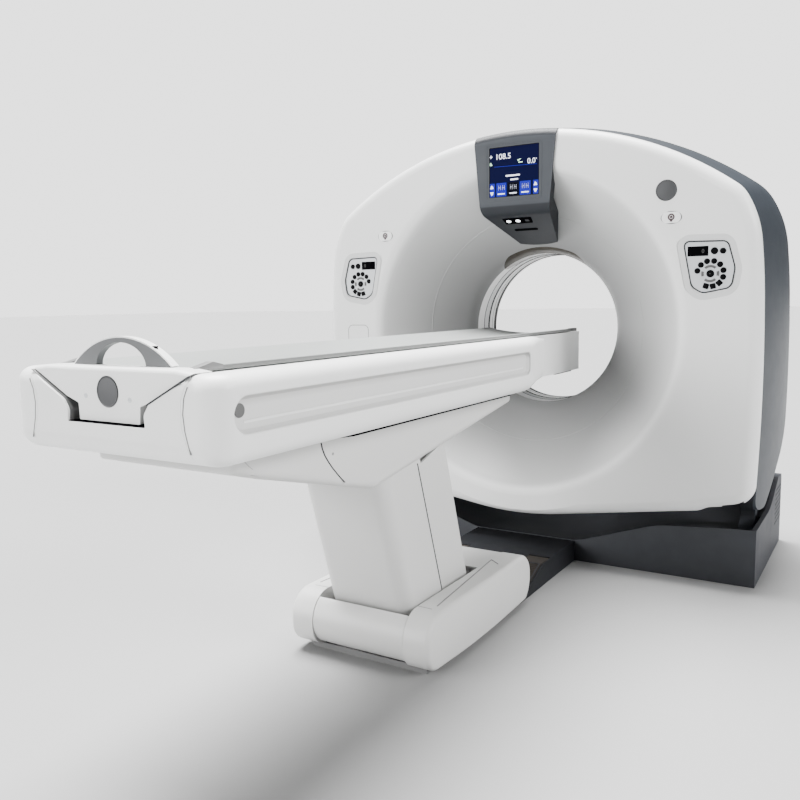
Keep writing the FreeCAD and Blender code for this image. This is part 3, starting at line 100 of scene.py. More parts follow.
# ---------------------------------------------------------------------------
# Shader maths
# ---------------------------------------------------------------------------
class Wire:
    """An output socket that takes part in Python arithmetic."""

    def __init__(self, graph: "Graph", socket: bpy.types.NodeSocket) -> None:
        """Keep the socket and the graph that it belongs to."""
        self.graph = graph
        self.socket = socket

    def _math(self, operation: str, *values: "Wire | float", clamp: bool = False) -> "Wire":
        """Add one Math node.

        Args:
            operation: What the node does.
            values: The wires or numbers that it is fed with.
            clamp: Whether the result is held between 0 and 1.

        Returns:
            The node's result.
        """
        settings = {"operation": operation, "use_clamp": clamp}
        return self.graph.node("ShaderNodeMath", settings, dict(enumerate(values)))

    def __add__(self, other: "Wire | float") -> "Wire":
        """Sum."""
        return self._math("ADD", self, other)

    def __sub__(self, other: "Wire | float") -> "Wire":
        """Difference."""
        return self._math("SUBTRACT", self, other)

    def __mul__(self, other: "Wire | float") -> "Wire":
        """Product."""
        return self._math("MULTIPLY", self, other)

    def __rsub__(self, other: float) -> "Wire":
        """Difference, with the number first."""
        return self._math("SUBTRACT", other, self)

    __radd__ = __add__
    __rmul__ = __mul__

    def sine(self) -> "Wire":
        """Sine of the value in radians."""
        return self._math("SINE", self)

    def above(self, edge: float, width: float) -> "Wire":
        """A soft step from 0 to 1.

        Args:
            edge: Where the step starts.
            width: How far it takes to reach 1.

        Returns:
            The clamped ramp.
        """
        return self._math("DIVIDE", self - edge, width, clamp=True)

    def below(self, edge: float, width: float) -> "Wire":
        """The same step turned round: 1 up to the edge, and 0 a width beyond it."""
        return 1.0 - self.above(edge, width)


class Graph:
    """The node tree of one material."""

    def __init__(self, name: str) -> None:
        """Start an empty material.

        Args:
            name: The material's name.
        """
        self.material = bpy.data.materials.new(name)
        self.material.use_nodes = True
        self.tree = self.material.node_tree
        self.tree.nodes.clear()

    def node(self, kind: str, settings: dict | None = None, inputs: dict | None = None,
             output: int | str = 0) -> Wire:
        """Add a node.

        Args:
            kind: The node's type.
            settings: Its properties, set before its sockets.
            inputs: Values or wires by socket name or number.
            output: Which output to hand back.

        Returns:
            The chosen output as a wire.
        """
        made = self.tree.nodes.new(kind)
        for key, value in (settings or {}).items():
            setattr(made, key, value)
        for key, value in (inputs or {}).items():
            if isinstance(value, Wire):
                self.tree.links.new(value.socket, made.inputs[key])
            else:
                made.inputs[key].default_value = value
        return Wire(self, made.outputs[output])

    def place(self) -> Wire:
        """Object coordinates."""
        return self.node("ShaderNodeTexCoord", output="Object")

    def axis(self, letter: str) -> Wire:
        """One component of the object coordinates."""
        return self.node("ShaderNodeSeparateXYZ", None, {0: self.place()}, output=letter)

    def noise(self, scale: float, detail: float = 2.0, roughness: float = 0.5) -> Wire:
        """Smooth noise on object coordinates.

        Args:
            scale: Features per metre.
            detail: How many finer layers are added.
            roughness: How strong the finer layers are.

        Returns:
            The noise, 0 to 1.
        """
        return self.node("ShaderNodeTexNoise", None, {
            "Vector": self.place(), "Scale": scale, "Detail": detail, "Roughness": roughness})

    def grains(self, scale: float) -> Wire:
        """Distance field of a cell pattern, in cells per metre."""
        return self.node("ShaderNodeTexVoronoi", None, {"Vector": self.place(), "Scale": scale})

    def blend(self, share: Wire | float, first: Colour | Wire, second: Colour | Wire) -> Wire:
        """Mix two colours.

        Args:
            share: How much of the second colour there is.
            first: The colour where the share is 0.
            second: The colour where the share is 1.

        Returns:
            The mixed colour.
        """
        def rgba(colour: Colour | Wire) -> tuple | Wire:
            """A colour as the socket wants it."""
            return colour if isinstance(colour, Wire) else (*colour, 1.0)
        return self.node("ShaderNodeMix", {"data_type": "RGBA"},
                         {0: share, 6: rgba(first), 7: rgba(second)}, output=2)

    def bump(self, height: Wire, distance: float, strength: float = 1.0) -> Wire:
        """A normal bent by a height map.

        Args:
            height: The map, 0 to 1.
            distance: Its depth in metres.
            strength: How much of it shows.

        Returns:
            The normal.
        """
        return self.node("ShaderNodeBump", None,
                         {"Height": height, "Distance": distance, "Strength": strength}, "Normal")

    def shade(self, **inputs: Wire | float | tuple) -> bpy.types.Material:
        """Close the graph with a Principled shader.

        Args:
            inputs: Its sockets by name, with underscores for spaces.

        Returns:
            The finished material.
        """
        named = {key.replace("_", " "): value for key, value in inputs.items()}
        shader = self.node("ShaderNodeBsdfPrincipled", None, named)
        end = self.tree.nodes.new("ShaderNodeOutputMaterial")
        self.tree.links.new(shader.socket, end.inputs["Surface"])
        return self.material


# ---------------------------------------------------------------------------
# Finishes
# ---------------------------------------------------------------------------
def scaled(colour: Colour, factor: float) -> Colour:
    """A colour made lighter or darker."""
    return tuple(min(1.0, channel * factor) for channel in colour)


@dataclass(frozen=True)
class Finish:
    """A named finish. Each kind below builds its own material."""

    name: str

    def material(self) -> bpy.types.Material:
        """Build the finish."""
        raise NotImplementedError(self.name)


@dataclass(frozen=True)
class Moulded(Finish):
    """Painted or moulded plastic with a faint orange peel and handling marks."""

    colour: Colour
    roughness: float = 0.34
    coat: float = 0.0
    gloss: float = 0.5
    uneven: float = 0.02
    clouds: float = 2.2
    marks: float = 14.0
    mark_depth: float = 0.12
    grain: float = 900.0
    peel: float = 0.00006

    def material(self) -> bpy.types.Material:
        """Build the finish."""
        graph = Graph(self.name)
        cloud = graph.noise(self.clouds, detail=3.0)
        mark = graph.noise(self.marks, detail=5.0, roughness=0.65)
        dark = scaled(self.colour, 1 - 2 * self.uneven)
        light = scaled(self.colour, 1 + self.uneven)
        return graph.shade(
            Base_Color=graph.blend(cloud, dark, light),
            Roughness=mark * self.mark_depth + (self.roughness - self.mark_depth / 2),
            Coat_Weight=self.coat,
            Specular_IOR_Level=self.gloss,
            Normal=graph.bump(graph.noise(self.grain), self.peel))


@dataclass(frozen=True)
class Faced(Finish):
    """Grey moulding with painted shade: its walls and the slope under its face are darker than the
    face.
    """

    front: Colour
    wall: Colour
    face_y: float
    low_z: float
    face_fade: float = 0.0015
    low_fade: float = 0.004
    roughness: float = 0.46
    gloss: float = 0.2
    clouds: float = 6.0
    cloud_share: float = 0.25
    grain: float = 800.0
    peel: float = 0.00008

    def material(self) -> bpy.types.Material:
        """Build the finish."""
        graph = Graph(self.name)
        # Painted shade: the walls behind the front face and the slope below its crease take the
        # darker wall tone.
        ahead = graph.axis("Y").below(self.face_y, self.face_fade)
        high = graph.axis("Z").above(self.low_z, self.low_fade)
        cloud = graph.noise(self.clouds, detail=3.0)
        shaded_tone = graph.blend(ahead * high, self.wall, self.front)
        return graph.shade(
            Base_Color=graph.blend(cloud * self.cloud_share, shaded_tone, self.wall),
            Roughness=cloud * 0.1 + self.roughness,
            Specular_IOR_Level=self.gloss,
            Normal=graph.bump(graph.noise(self.grain), self.peel))


@dataclass(frozen=True)
class Dished(Finish):
    """Moulded white cover with painted shade that greys its mouth towards the bore.

    Distances from the bore's axis stay squared, as the steps work on squares just as well.
    """

    face: Colour
    mouth: Colour
    middle_z: float
    radius: float
    rim_fade: Point = (0.02, 0.03)
    bowl_fade: Point = (0.13, 0.34)
    rim_share: float = 0.35
    roughness: float = 0.36
    gloss: float = 0.4
    clouds: float = 5.0
    grain: float = 900.0
    peel: float = 0.00005

    def material(self) -> bpy.types.Material:
        """Build the finish."""
        graph = Graph(self.name)
        across = graph.axis("X")
        up = graph.axis("Z") + (-self.middle_z)
        square = across * across + up * up
        # Painted shade: a grey step inside the mouth's rim that deepens towards the bore.
        start, width = self.rim_fade
        rim = square.below(self.radius ** 2 - start, width)
        bowl = square.below(*self.bowl_fade)
        share = rim * (bowl * (1.0 - self.rim_share) + self.rim_share)
        cloud = graph.noise(self.clouds, detail=3.0)
        return graph.shade(
            Base_Color=graph.blend(share, self.face, self.mouth),
            Roughness=cloud * 0.08 + self.roughness,
            Specular_IOR_Level=self.gloss,
            Normal=graph.bump(graph.noise(self.grain), self.peel))


@dataclass(frozen=True)
class Channelled(Finish):
    """Moulded side cover with painted shade in its long recessed channel, darkest under its upper
    lip.
    """

    colour: Colour
    recess: Colour
    floor_x: float
    ends: Point
    levels: Point
    fade: float = 0.004
    depth_fade: float = 0.003
    lip_fade: Point = (0.026, 0.024)
    floor_share: float = 0.4
    roughness: float = 0.34
    gloss: float = 0.4
    clouds: float = 5.0
    grain: float = 900.0
    peel: float = 0.00005

    def material(self) -> bpy.types.Material:
        """Build the finish."""
        graph = Graph(self.name)
        across, along, up = (graph.axis(letter) for letter in "XYZ")
        low, high = self.levels
        deep = (across * across).below(self.floor_x ** 2, self.depth_fade)
        inside = deep * up.below(high, self.fade) * up.above(low, self.fade)
        inside = inside * along.above(self.ends[0], self.fade)
        inside = inside * along.below(self.ends[1], self.fade)
        # Painted shade in the channel: darkest under its upper lip, lighter on its floor.
        start, width = self.lip_fade
        lip = up.above(high - start, width)
        share = inside * (lip * (1.0 - self.floor_share) + self.floor_share)
        cloud = graph.noise(self.clouds, detail=3.0)
        return graph.shade(
            Base_Color=graph.blend(share, self.colour, self.recess),
            Roughness=cloud * 0.08 + self.roughness,
            Specular_IOR_Level=self.gloss,
            Normal=graph.bump(graph.noise(self.grain), self.peel))


@dataclass(frozen=True)
class Grained(Finish):
    """Dark structural-foam plastic with a coarse leathery grain and dusty patches."""

    colour: Colour
    roughness: float = 0.55
    gloss: float = 0.12
    cells: float = 420.0
    depth: float = 0.00018
    dust_patches: float = 5.0
    dust_gain: float = 1.25
    dust_lift: float = 0.001

    def material(self) -> bpy.types.Material:
        """Build the finish."""
        graph = Graph(self.name)
        cells = graph.grains(self.cells)
        dust = graph.noise(self.dust_patches, detail=4.0, roughness=0.6).above(0.45, 0.4)
        dusty = tuple(channel * self.dust_gain + self.dust_lift for channel in self.colour)
        return graph.shade(
            Base_Color=graph.blend(dust, self.colour, dusty),
            Roughness=dust * 0.15 + self.roughness,
            Specular_IOR_Level=self.gloss,
            Normal=graph.bump(cells, self.depth, strength=0.6))


@dataclass(frozen=True)
class Metal(Finish):
    """Bare metal with the turned or ground lines left by its making."""

    colour: Colour
    roughness: float = 0.32
    lines: tuple[float, float, float] = (30.0, 900.0, 900.0)
    dark_share: float = 0.82
    line_depth: float = 0.00004

    def material(self) -> bpy.types.Material:
        """Build the finish."""
        graph = Graph(self.name)
        stretched = graph.node("ShaderNodeMapping", None,
                               {"Vector": graph.place(), "Scale": self.lines})
        streaks = graph.node("ShaderNodeTexNoise", None,
                             {"Vector": stretched, "Scale": 1.0, "Detail": 3.0})
        return graph.shade(
            Base_Color=graph.blend(streaks, scaled(self.colour, self.dark_share), self.colour),
            Roughness=streaks * 0.16 + (self.roughness - 0.06),
            Metallic=1.0,
            Normal=graph.bump(streaks, self.line_depth))


@dataclass(frozen=True)
class Painted(Finish):
    """Sprayed steel or iron, with casting roughness under the paint."""

    colour: Colour
    roughness: float = 0.45
    gloss: float = 0.35
    texture: float = 160.0
    depth: float = 0.0002
    grime_patches: float = 9.0
    grime_tone: float = 0.72
    grime_share: float = 0.6

    def material(self) -> bpy.types.Material:
        """Build the finish."""
        graph = Graph(self.name)
        lumps = graph.noise(self.texture, detail=4.0, roughness=0.6)
        grime = graph.noise(self.grime_patches, detail=5.0, roughness=0.6).above(0.5, 0.35)
        return graph.shade(
            Base_Color=graph.blend(grime * self.grime_share, self.colour,
                                   scaled(self.colour, self.grime_tone)),
            Roughness=lumps * 0.15 + self.roughness,
            Metallic=0.1,
            Specular_IOR_Level=self.gloss,
            Normal=graph.bump(lumps, self.depth))


@dataclass(frozen=True)
class Rubber(Finish):
    """Matt rubber with small round pimples."""

    colour: Colour
    pimples: float = 160.0
    depth: float = 0.0005
    gloss: float = 0.15
    roughness: float = 0.7
    wear_patches: float = 20.0
    wear_tone: float = 0.8

    def material(self) -> bpy.types.Material:
        """Build the finish."""
        graph = Graph(self.name)
        dots = 1.0 - graph.grains(self.pimples)
        wear = graph.noise(self.wear_patches, detail=4.0)
        return graph.shade(
            Base_Color=graph.blend(wear, scaled(self.colour, self.wear_tone), self.colour),
            Roughness=wear * 0.1 + self.roughness,
            Specular_IOR_Level=self.gloss,
            Normal=graph.bump(dots, self.depth, strength=0.5))


@dataclass(frozen=True)
class Composite(Finish):
    """The cradle's matt skin over carbon fibre, with a very fine weave showing through."""

    colour: Colour
    threads: float = 1100.0
    weave_share: float = 0.2
    weave_depth: float = 0.00003
    clouds: float = 3.0
    cloud_share: float = 0.5
    dark_tone: float = 0.94
    roughness: float = 0.36

    def material(self) -> bpy.types.Material:
        """Build the finish."""
        graph = Graph(self.name)
        along = (graph.axis("Y") * self.threads).sine()
        across = (graph.axis("X") * self.threads).sine()
        weave = along * across * 0.5 + 0.5
        cloud = graph.noise(self.clouds, detail=3.0)
        share = cloud * self.cloud_share + weave * self.weave_share
        return graph.shade(
            Base_Color=graph.blend(share, scaled(self.colour, self.dark_tone), self.colour),
            Roughness=cloud * 0.12 + self.roughness,
            Normal=graph.bump(weave, self.weave_depth))


@dataclass(frozen=True)
class Lit(Finish):
    """A lit or printed surface: its own colour, and some light of its own."""

    colour: Colour
    glow: float
    roughness: float
    gloss: float = 0.2
    pixels: float = 700.0
    dark_tone: float = 0.88

    def material(self) -> bpy.types.Material:
        """Build the finish."""
        graph = Graph(self.name)
        pixels = graph.noise(self.pixels, detail=1.0)
        tone = graph.blend(pixels, scaled(self.colour, self.dark_tone), self.colour)
        return graph.shade(
            Base_Color=tone,
            Roughness=pixels * 0.1 + self.roughness,
            Specular_IOR_Level=self.gloss,
            Emission_Color=tone,
            Emission_Strength=self.glow)


@dataclass(frozen=True)
class Smoked(Finish):
    """Smoke-brown window that hardly lets light through."""

    colour: Colour
    roughness: float = 0.2
    gloss: float = 0.35
    clouds: float = 8.0
    dark_tone: float = 0.8

    def material(self) -> bpy.types.Material:
        """Build the finish."""
        graph = Graph(self.name)
        cloud = graph.noise(self.clouds)
        return graph.shade(
            Base_Color=graph.blend(cloud, self.colour, scaled(self.colour, self.dark_tone)),
            Roughness=cloud * 0.06 + self.roughness,
            Specular_IOR_Level=self.gloss)


COVER_WHITE = (0.74, 0.745, 0.74)
NEAR_BLACK = (0.002, 0.002, 0.0025)

WHITE = Moulded("cover_white", COVER_WHITE, 0.34, coat=0.05, gloss=0.4)
# The mouth colour is painted shade: the mouth turns greyer towards the bore.
MOUTH_SHADED_COVER = Dished("front_cover_white", COVER_WHITE, (0.21, 0.212, 0.212), middle_z=1.036,
               radius=0.70)
# The recess colour is painted shade inside the table covers' side channels.
CHANNEL_SHADED_COVER = Channelled("table_cover_white", COVER_WHITE, (0.33, 0.325, 0.32), floor_x=0.331,
                         ends=(-2.584, -1.086), levels=(0.905, 0.989))
# Painted shade: a darker copy of the cover white for the arms, saddle and base covers under the
# table.
SHADED_WHITE = Moulded("arm_white", (0.53, 0.53, 0.522), 0.4, gloss=0.4)
# Painted shade of the keypads' recesses.
RECESS_SHADE_GREY = Moulded("surround_white", (0.56, 0.565, 0.565), 0.38, gloss=0.3)
WINDOW = Moulded("scan_window_grey", (0.52, 0.53, 0.53), 0.3)
BEZEL = Moulded("bezel_grey", (0.50, 0.52, 0.54), 0.34)
# Also painted shade: the grey line along the base covers' raised wing.
SOFT_SEAM_AND_SHADE = Moulded("seam_soft", (0.22, 0.22, 0.22), 0.6, gloss=0.2)
STOP = Moulded("stop_grey", (0.13, 0.13, 0.13), 0.45, gloss=0.3)
STRIP = Moulded("strip_grey", (0.12, 0.123, 0.12), 0.45, gloss=0.3)
# Also painted shade: the grey lining on the walls of the foot cover's V.
PLUG_AND_SHADE = Moulded("plug_grey", (0.095, 0.095, 0.095), 0.5, gloss=0.3)
HANDLE = Moulded("handle_grey", (0.062, 0.065, 0.068), 0.4, gloss=0.3)
SEAM = Moulded("seam_shadow", (0.04, 0.04, 0.042), 0.6, gloss=0.1)
# Also painted shadow: the dark line along the diagonal of the foot cover's V.
GASKET_AND_SHADOW = Moulded("gasket_grey", (0.03, 0.031, 0.034), 0.55, gloss=0.15)
BAND = Moulded("band_blue_grey", (0.025, 0.030, 0.037), 0.42, gloss=0.3)
# Also painted shadow: the black backing behind the foot cover's V.
BLACK = Moulded("scan_black", (0.006, 0.006, 0.007), 0.35, gloss=0.12)
# Also painted shadow: the sill in the foot cover's V, and the gap over the saddle.
PITCH = Moulded("slot_black", NEAR_BLACK, 0.7, gloss=0.0)
KEY_MAT = Moulded("key_charcoal", NEAR_BLACK, 0.5, grain=1500.0, gloss=0.03)
KEY = Moulded("key_black", NEAR_BLACK, 0.5, grain=1500.0, gloss=0.03)
# The wall colour is painted shade on the housing's walls and on the slope under its face.
SHADED_HOUSING = Faced("housing_grey", (0.044, 0.049, 0.057), (0.016, 0.018, 0.022),
                face_y=-0.4732, low_z=1.528)
PLINTH = Grained("plinth_charcoal", (0.044, 0.046, 0.052))
DOCK = Grained("dock_charcoal", (0.0125, 0.0132, 0.0155), 0.5)
PLATE = Painted("plate_grey", (0.15, 0.15, 0.15), 0.42)
FRAME = Painted("frame_paint", (0.22, 0.24, 0.26))
CAST = Painted("cast_paint", (0.06, 0.065, 0.075), 0.5, texture=90.0, depth=0.0005)
MOTOR = Painted("motor_paint", (0.02, 0.022, 0.027), 0.4)
STEEL = Metal("ground_steel", (0.42, 0.42, 0.42), 0.3)
ALLOY = Metal("turned_alloy", (0.5, 0.51, 0.52), 0.36, lines=(500.0, 60.0, 500.0))
BADGE = Metal("badge_satin", (0.055, 0.056, 0.058), 0.4, lines=(500.0, 500.0, 40.0))
BELT = Rubber("belt_rubber", (0.01, 0.01, 0.01), pimples=600.0, depth=0.0002)
PEDAL = Rubber("pedal_rubber", (0.034, 0.029, 0.025))
CRADLE = Composite("cradle_skin", (0.25, 0.262, 0.256))
SMOKE = Smoked("window_smoke", (0.060, 0.054, 0.046))
SCREEN = Lit("screen_navy", (0.0012, 0.0018, 0.021), glow=0.5, roughness=0.4, gloss=0.02)
TILE = Lit("screen_tile", (0.012, 0.014, 0.25), glow=0.8, roughness=0.4, gloss=0.02)
DARK_TILE = Lit("screen_dark_tile", (0.001, 0.0015, 0.006), glow=0.3, roughness=0.4, gloss=0.02)
INK = Lit("screen_ink", (0.8, 0.84, 0.95), glow=0.8, roughness=0.3)
GREEN_INK = Lit("screen_green", (0.45, 0.75, 0.5), glow=1.2, roughness=0.3)
LAMP = Lit("lamp_pale", (0.84, 0.84, 0.84), glow=0.1, roughness=0.2)
WHITE_LIGHT = Lit("strip_light", (0.95, 0.97, 1.0), glow=3.5, roughness=0.2)
DIM_DIGIT = Lit("digit_dim", (0.05, 0.05, 0.05), glow=0.4, roughness=0.4)
PRINT = Lit("key_print", (0.09, 0.09, 0.09), glow=0.0, roughness=0.5)
SYMBOL = Lit("lamp_symbol", (0.07, 0.05, 0.054), glow=0.0, roughness=0.5)

NODE_FINISHES = {
    "plinth_cover": PLINTH, "base_frame": FRAME, "upright_left": CAST, "upright_right": CAST,
    "tilt_gearbox": MOTOR, "dock_cover": DOCK, "table_base_plate": PLATE,
    "base_cover_left": SHADED_WHITE, "base_cover_right": SHADED_WHITE, "base_deck_cover": SHADED_WHITE,
    "lower_pivot_shafts": STEEL, "lift_gearmotor": MOTOR, "foot_pedal_left": PEDAL,
    "foot_pedal_right": PEDAL, "front_cover": MOUTH_SHADED_COVER, "side_band": BAND, "rear_cover": WHITE,
    "bore_liner": WHITE, "scan_window": WINDOW, "laser_window": SMOKE,
    "console_housing": SHADED_HOUSING, "console_screen": BLACK, "tilt_frame": FRAME,
    "bearing_outer_race": STEEL, "drive_motor": MOTOR, "drive_belt": BELT,
    "keypad_bezel_left": BEZEL, "keypad_bezel_right": BEZEL, "key_mat_left": KEY_MAT,
    "key_mat_right": KEY_MAT, "indicator_lamps": LAMP, "brush_block": BLACK,
    "rotor_disc": ALLOY, "x_ray_tube": MOTOR, "collimator": ALLOY, "detector": ALLOY,
    "generator": FRAME, "slip_ring": BLACK, "drive_pulley": STEEL, "front_arm": SHADED_WHITE,
    "front_roll_cover": SHADED_WHITE, "rear_arm": SHADED_WHITE, "table_chassis": FRAME,
    "upper_pivot_shafts": STEEL, "saddle_cover_front": SHADED_WHITE,
    "saddle_cover_rear": SHADED_WHITE, "table_cover_left": CHANNEL_SHADED_COVER,
    "table_cover_right": CHANNEL_SHADED_COVER, "foot_cover": WHITE, "support_nose": WHITE,
    "cradle": CRADLE, "cradle_end_block": WHITE, "cradle_handle": HANDLE, "release_button": KEY,
    "stop_key_left": KEY, "stop_key_right": KEY, "lamp_key_left": KEY, "lamp_key_right": KEY,
    "centre_key_left": KEY, "centre_key_right": KEY,
}


class Paintbox:
    """Makes each finish once, and hands it out."""

    def __init__(self) -> None:
        """Start with no finish made."""
        self.made: dict[str, bpy.types.Material] = {}

    def get(self, finish: Finish) -> bpy.types.Material:
        """The material of a finish."""
        if finish.name not in self.made:
            self.made[finish.name] = finish.material()
        return self.made[finish.name]

    def dress(self, piece: bpy.types.Object, finish: Finish) -> None:
        """Give a piece one finish all over."""
        piece.data.materials.clear()
        piece.data.materials.append(self.get(finish))


# ---------------------------------------------------------------------------
# Mesh making
# ---------------------------------------------------------------------------
def upright(left: float, low: float, right: float, high: float,
            radius: float = 0.0) -> list[Corner]:
    """Corners of an upright rectangle.

    Args:
        left: Its least x.
        low: Its least z.
        right: Its greatest x.
        high: Its greatest z.
        radius: The rounding of all four, or 0.

    Returns:
        The corners, anticlockwise in front view from the lower left.
    """
    rounding = (radius,) if radius else ()
    return [(x, z, *rounding) for x, z in ((left, low), (right, low), (right, high), (left, high))]


class Bench:
    """Shapes pieces with bmesh operators and puts them on their bodies.

    Flat shapes are drawn in front view, as (x, z) facing -Y, and lay() turns them elsewhere.
    """

    rim_fold = 1.0      # a sharper fold than this, in radians, belongs to the front edge
    type_size = 1.4     # the font's size for numerals of height 1

    def __init__(self, paintbox: Paintbox) -> None:
        """Keep the paintbox."""
        self.paintbox = paintbox

    def chain(self, mesh: Mesh, places: Sequence[Place]) -> tuple[list, list]:
        """Vertices joined one after the other.

        Args:
            mesh: The mesh that gets them.
            places: Where they are.

        Returns:
            The vertices, and the edges between them.
        """
        verts = [mesh.verts.new(place) for place in places]
        return verts, [mesh.edges.new(pair) for pair in zip(verts, verts[1:])]

    def draw_out(self, mesh: Mesh, away: Place, edges: list | None = None) -> None:
        """Extrude and move what is new.

        Args:
            mesh: The mesh.
            away: How far, and which way.
            edges: The edges to extrude, or none for all faces.
        """
        if edges:
            grown = bmesh.ops.extrude_edge_only(mesh, edges=edges)
        else:
            grown = bmesh.ops.extrude_face_region(mesh, geom=mesh.faces[:])
        moved = [part for part in grown["geom"] if isinstance(part, bmesh.types.BMVert)]
        bmesh.ops.translate(mesh, verts=moved, vec=away)

    def bevel(self, mesh: Mesh, edges: list, offset: float, segments: int,
              clamp: bool = True) -> None:
        """Round some edges.

        Args:
            mesh: The mesh.
            edges: The edges.
            offset: How far the rounding reaches.
            segments: Facets of the rounding.
            clamp: Whether roundings stop where they would overlap.
        """
        bmesh.ops.bevel(mesh, geom=edges, offset=offset, segments=segments, profile=0.5,
                        affect="EDGES", material=-1, clamp_overlap=clamp)

    def outline(self, corners: Sequence[Corner], segments: int = 6) -> Mesh:
        """One flat face with its own rounding at each corner.

        Args:
            corners: (x, z) or (x, z, radius), in order.
            segments: Facets of each rounding.

        Returns:
            The mesh, at y = 0.
        """
        mesh = bmesh.new()
        ring = [mesh.verts.new((corner[0], 0.0, corner[1])) for corner in corners]
        mesh.faces.new(ring)
        offsets = []
        for index, corner in enumerate(corners):
            here = Vector(corner[:2])
            before = Vector(corners[index - 1][:2]) - here
            after = Vector(corners[(index + 1) % len(corners)][:2]) - here
            offsets.append(corner[2] / math.tan(before.angle(after) / 2) if len(corner) > 2 else 0)
        for vert, offset in zip(ring, offsets):
            if offset:
                bmesh.ops.bevel(mesh, geom=[vert], offset=offset, segments=segments, profile=0.5,
                                affect="VERTICES", material=-1, clamp_overlap=True)
        return mesh

    def hollow(self, mesh: Mesh, width: float) -> Mesh:
        """Cut the middle out of a flat shape.

        Args:
            mesh: The flat shape.
            width: The width of the frame that is left along its rim.

        Returns:
            The same mesh.
        """
        inner = mesh.faces[:]
        bmesh.ops.inset_region(mesh, faces=inner, thickness=width, use_even_offset=True,
                               use_boundary=True)
        bmesh.ops.delete(mesh, geom=inner, context="FACES_ONLY")
        return mesh

    def thicken(self, mesh: Mesh, low: float, high: float, edge: float = 0.0,
                segments: int = 2) -> Mesh:
        """Give a flat shape its thickness along Y.

        Args:
            mesh: The flat shape, at y = 0.
            low: The y of its front face.
            high: The y of its back face.
            edge: The rounding of the front edge.
            segments: Facets of that rounding.

        Returns:
            The same mesh.
        """
        self.draw_out(mesh, (0.0, high - low, 0.0))
        bmesh.ops.translate(mesh, verts=mesh.verts[:], vec=(0.0, low, 0.0))
        bmesh.ops.recalc_face_normals(mesh, faces=mesh.faces[:])
        if edge:
            rim = [e for e in mesh.edges if all(abs(v.co.y - low) < TOUCH for v in e.verts)
                   and e.is_manifold and e.calc_face_angle(0.0) > self.rim_fold]
            self.bevel(mesh, rim, edge, segments)
        return mesh

    def slab(self, corners: Sequence[Corner], low: float, high: float, edge: float = 0.0,
             segments: int = 6) -> Mesh:
        """A plate drawn in front view.

        Args:
            corners: The outline, as for outline().
            low: The y of its front face.
            high: The y of its back face.
            edge: The rounding of the front edge.
            segments: Facets of each corner's rounding.

        Returns:
            The mesh.
        """
        return self.thicken(self.outline(corners, segments), low, high, edge)

    def border(self, corners: Sequence[Corner], width: float, low: float, high: float,
               segments: int = 6) -> Mesh:
        """A thin frame that follows an outline inside it.

        Args:
            corners: The outline, as for outline().
            width: The width of the frame.
            low: The y of its front face.
            high: The y of its back face.
            segments: Facets of each rounding.

        Returns:
            The mesh.
        """
        return self.thicken(self.hollow(self.outline(corners, segments), width), low, high)

    def rectangle(self, centre: Point, size: Point, low: float, high: float,
                  radius: float = 0.0, edge: float = 0.0) -> Mesh:
        """A rectangular slab about a centre.

        Args:
            centre: Its middle in front view.
            size: Its width and height.
            low: The y of its front face.
            high: The y of its back face.
            radius: The rounding of its corners.
            edge: The rounding of the front edge.

        Returns:
            The mesh.
        """
        x, z = centre
        w, h = size[0] / 2, size[1] / 2
        return self.slab(upright(x - w, z - h, x + w, z + h, radius), low, high, edge, 4)

    def oval(self, centre: Point, half: Point, low: float, high: float,
             width: float = 0.0, steps: int = 40) -> Mesh:
        """An oval plate, or an oval ring where a width is given.

        Args:
            centre: Its middle in front view.
            half: Its half width and half height.
            low: The y of its front face.
            high: The y of its back face.
            width: The ring's width, or 0 for a plate.
            steps: Facets round it.

        Returns:
            The mesh.
        """
        mesh = bmesh.new()
        bmesh.ops.create_circle(mesh, cap_ends=True, segments=steps, radius=1.0,
                                matrix=Matrix.Rotation(math.pi / 2, 4, "X"))
        bmesh.ops.scale(mesh, vec=(half[0], 1.0, half[1]), verts=mesh.verts[:])
        bmesh.ops.translate(mesh, vec=(centre[0], 0.0, centre[1]), verts=mesh.verts[:])
        if width:
            self.hollow(mesh, width)
        return self.thicken(mesh, low, high)

    def arc(self, centre: Point, radius: float, width: float, turn: Point, low: float,
            high: float, steps: int = 12) -> Mesh:
        """A curved bar about a centre, anticlockwise in front view.

        Args:
            centre: The arc's centre.
            radius: The radius of the bar's middle line.
            width: The bar's width.
            turn: The first and the last angle in degrees.
            low: The y of its front face.
            high: The y of its back face.
            steps: Facets along it.

        Returns:
            The mesh.
        """
        start, end = turn
        mesh = bmesh.new()
        verts, edges = self.chain(mesh, [(radius + side * width / 2, 0.0, 0.0)
                                         for side in (-1, 1)])
        bmesh.ops.rotate(mesh, verts=verts, cent=(0, 0, 0),
                         matrix=Matrix.Rotation(-math.radians(start), 3, "Y"))
        bmesh.ops.spin(mesh, geom=verts + edges, cent=(0, 0, 0), axis=(0, -1, 0),
                       angle=math.radians(end - start), steps=steps, use_merge=False)
        bmesh.ops.translate(mesh, vec=(centre[0], 0.0, centre[1]), verts=mesh.verts[:])
        return self.thicken(mesh, low, high)

    def line(self, points: Sequence[Point], width: Point, low: float, high: float) -> Mesh:
        """A thin strip along a polyline.

        Args:
            points: The polyline in front view.
            width: How far, and which way, it is drawn out to give it its width.
            low: The y of its front face.
            high: The y of its back face.

        Returns:
            The mesh.
        """
        mesh = bmesh.new()
        _, edges = self.chain(mesh, [(x, 0.0, z) for x, z in points])
        self.draw_out(mesh, (width[0], 0.0, width[1]), edges)
        return self.thicken(mesh, low, high)

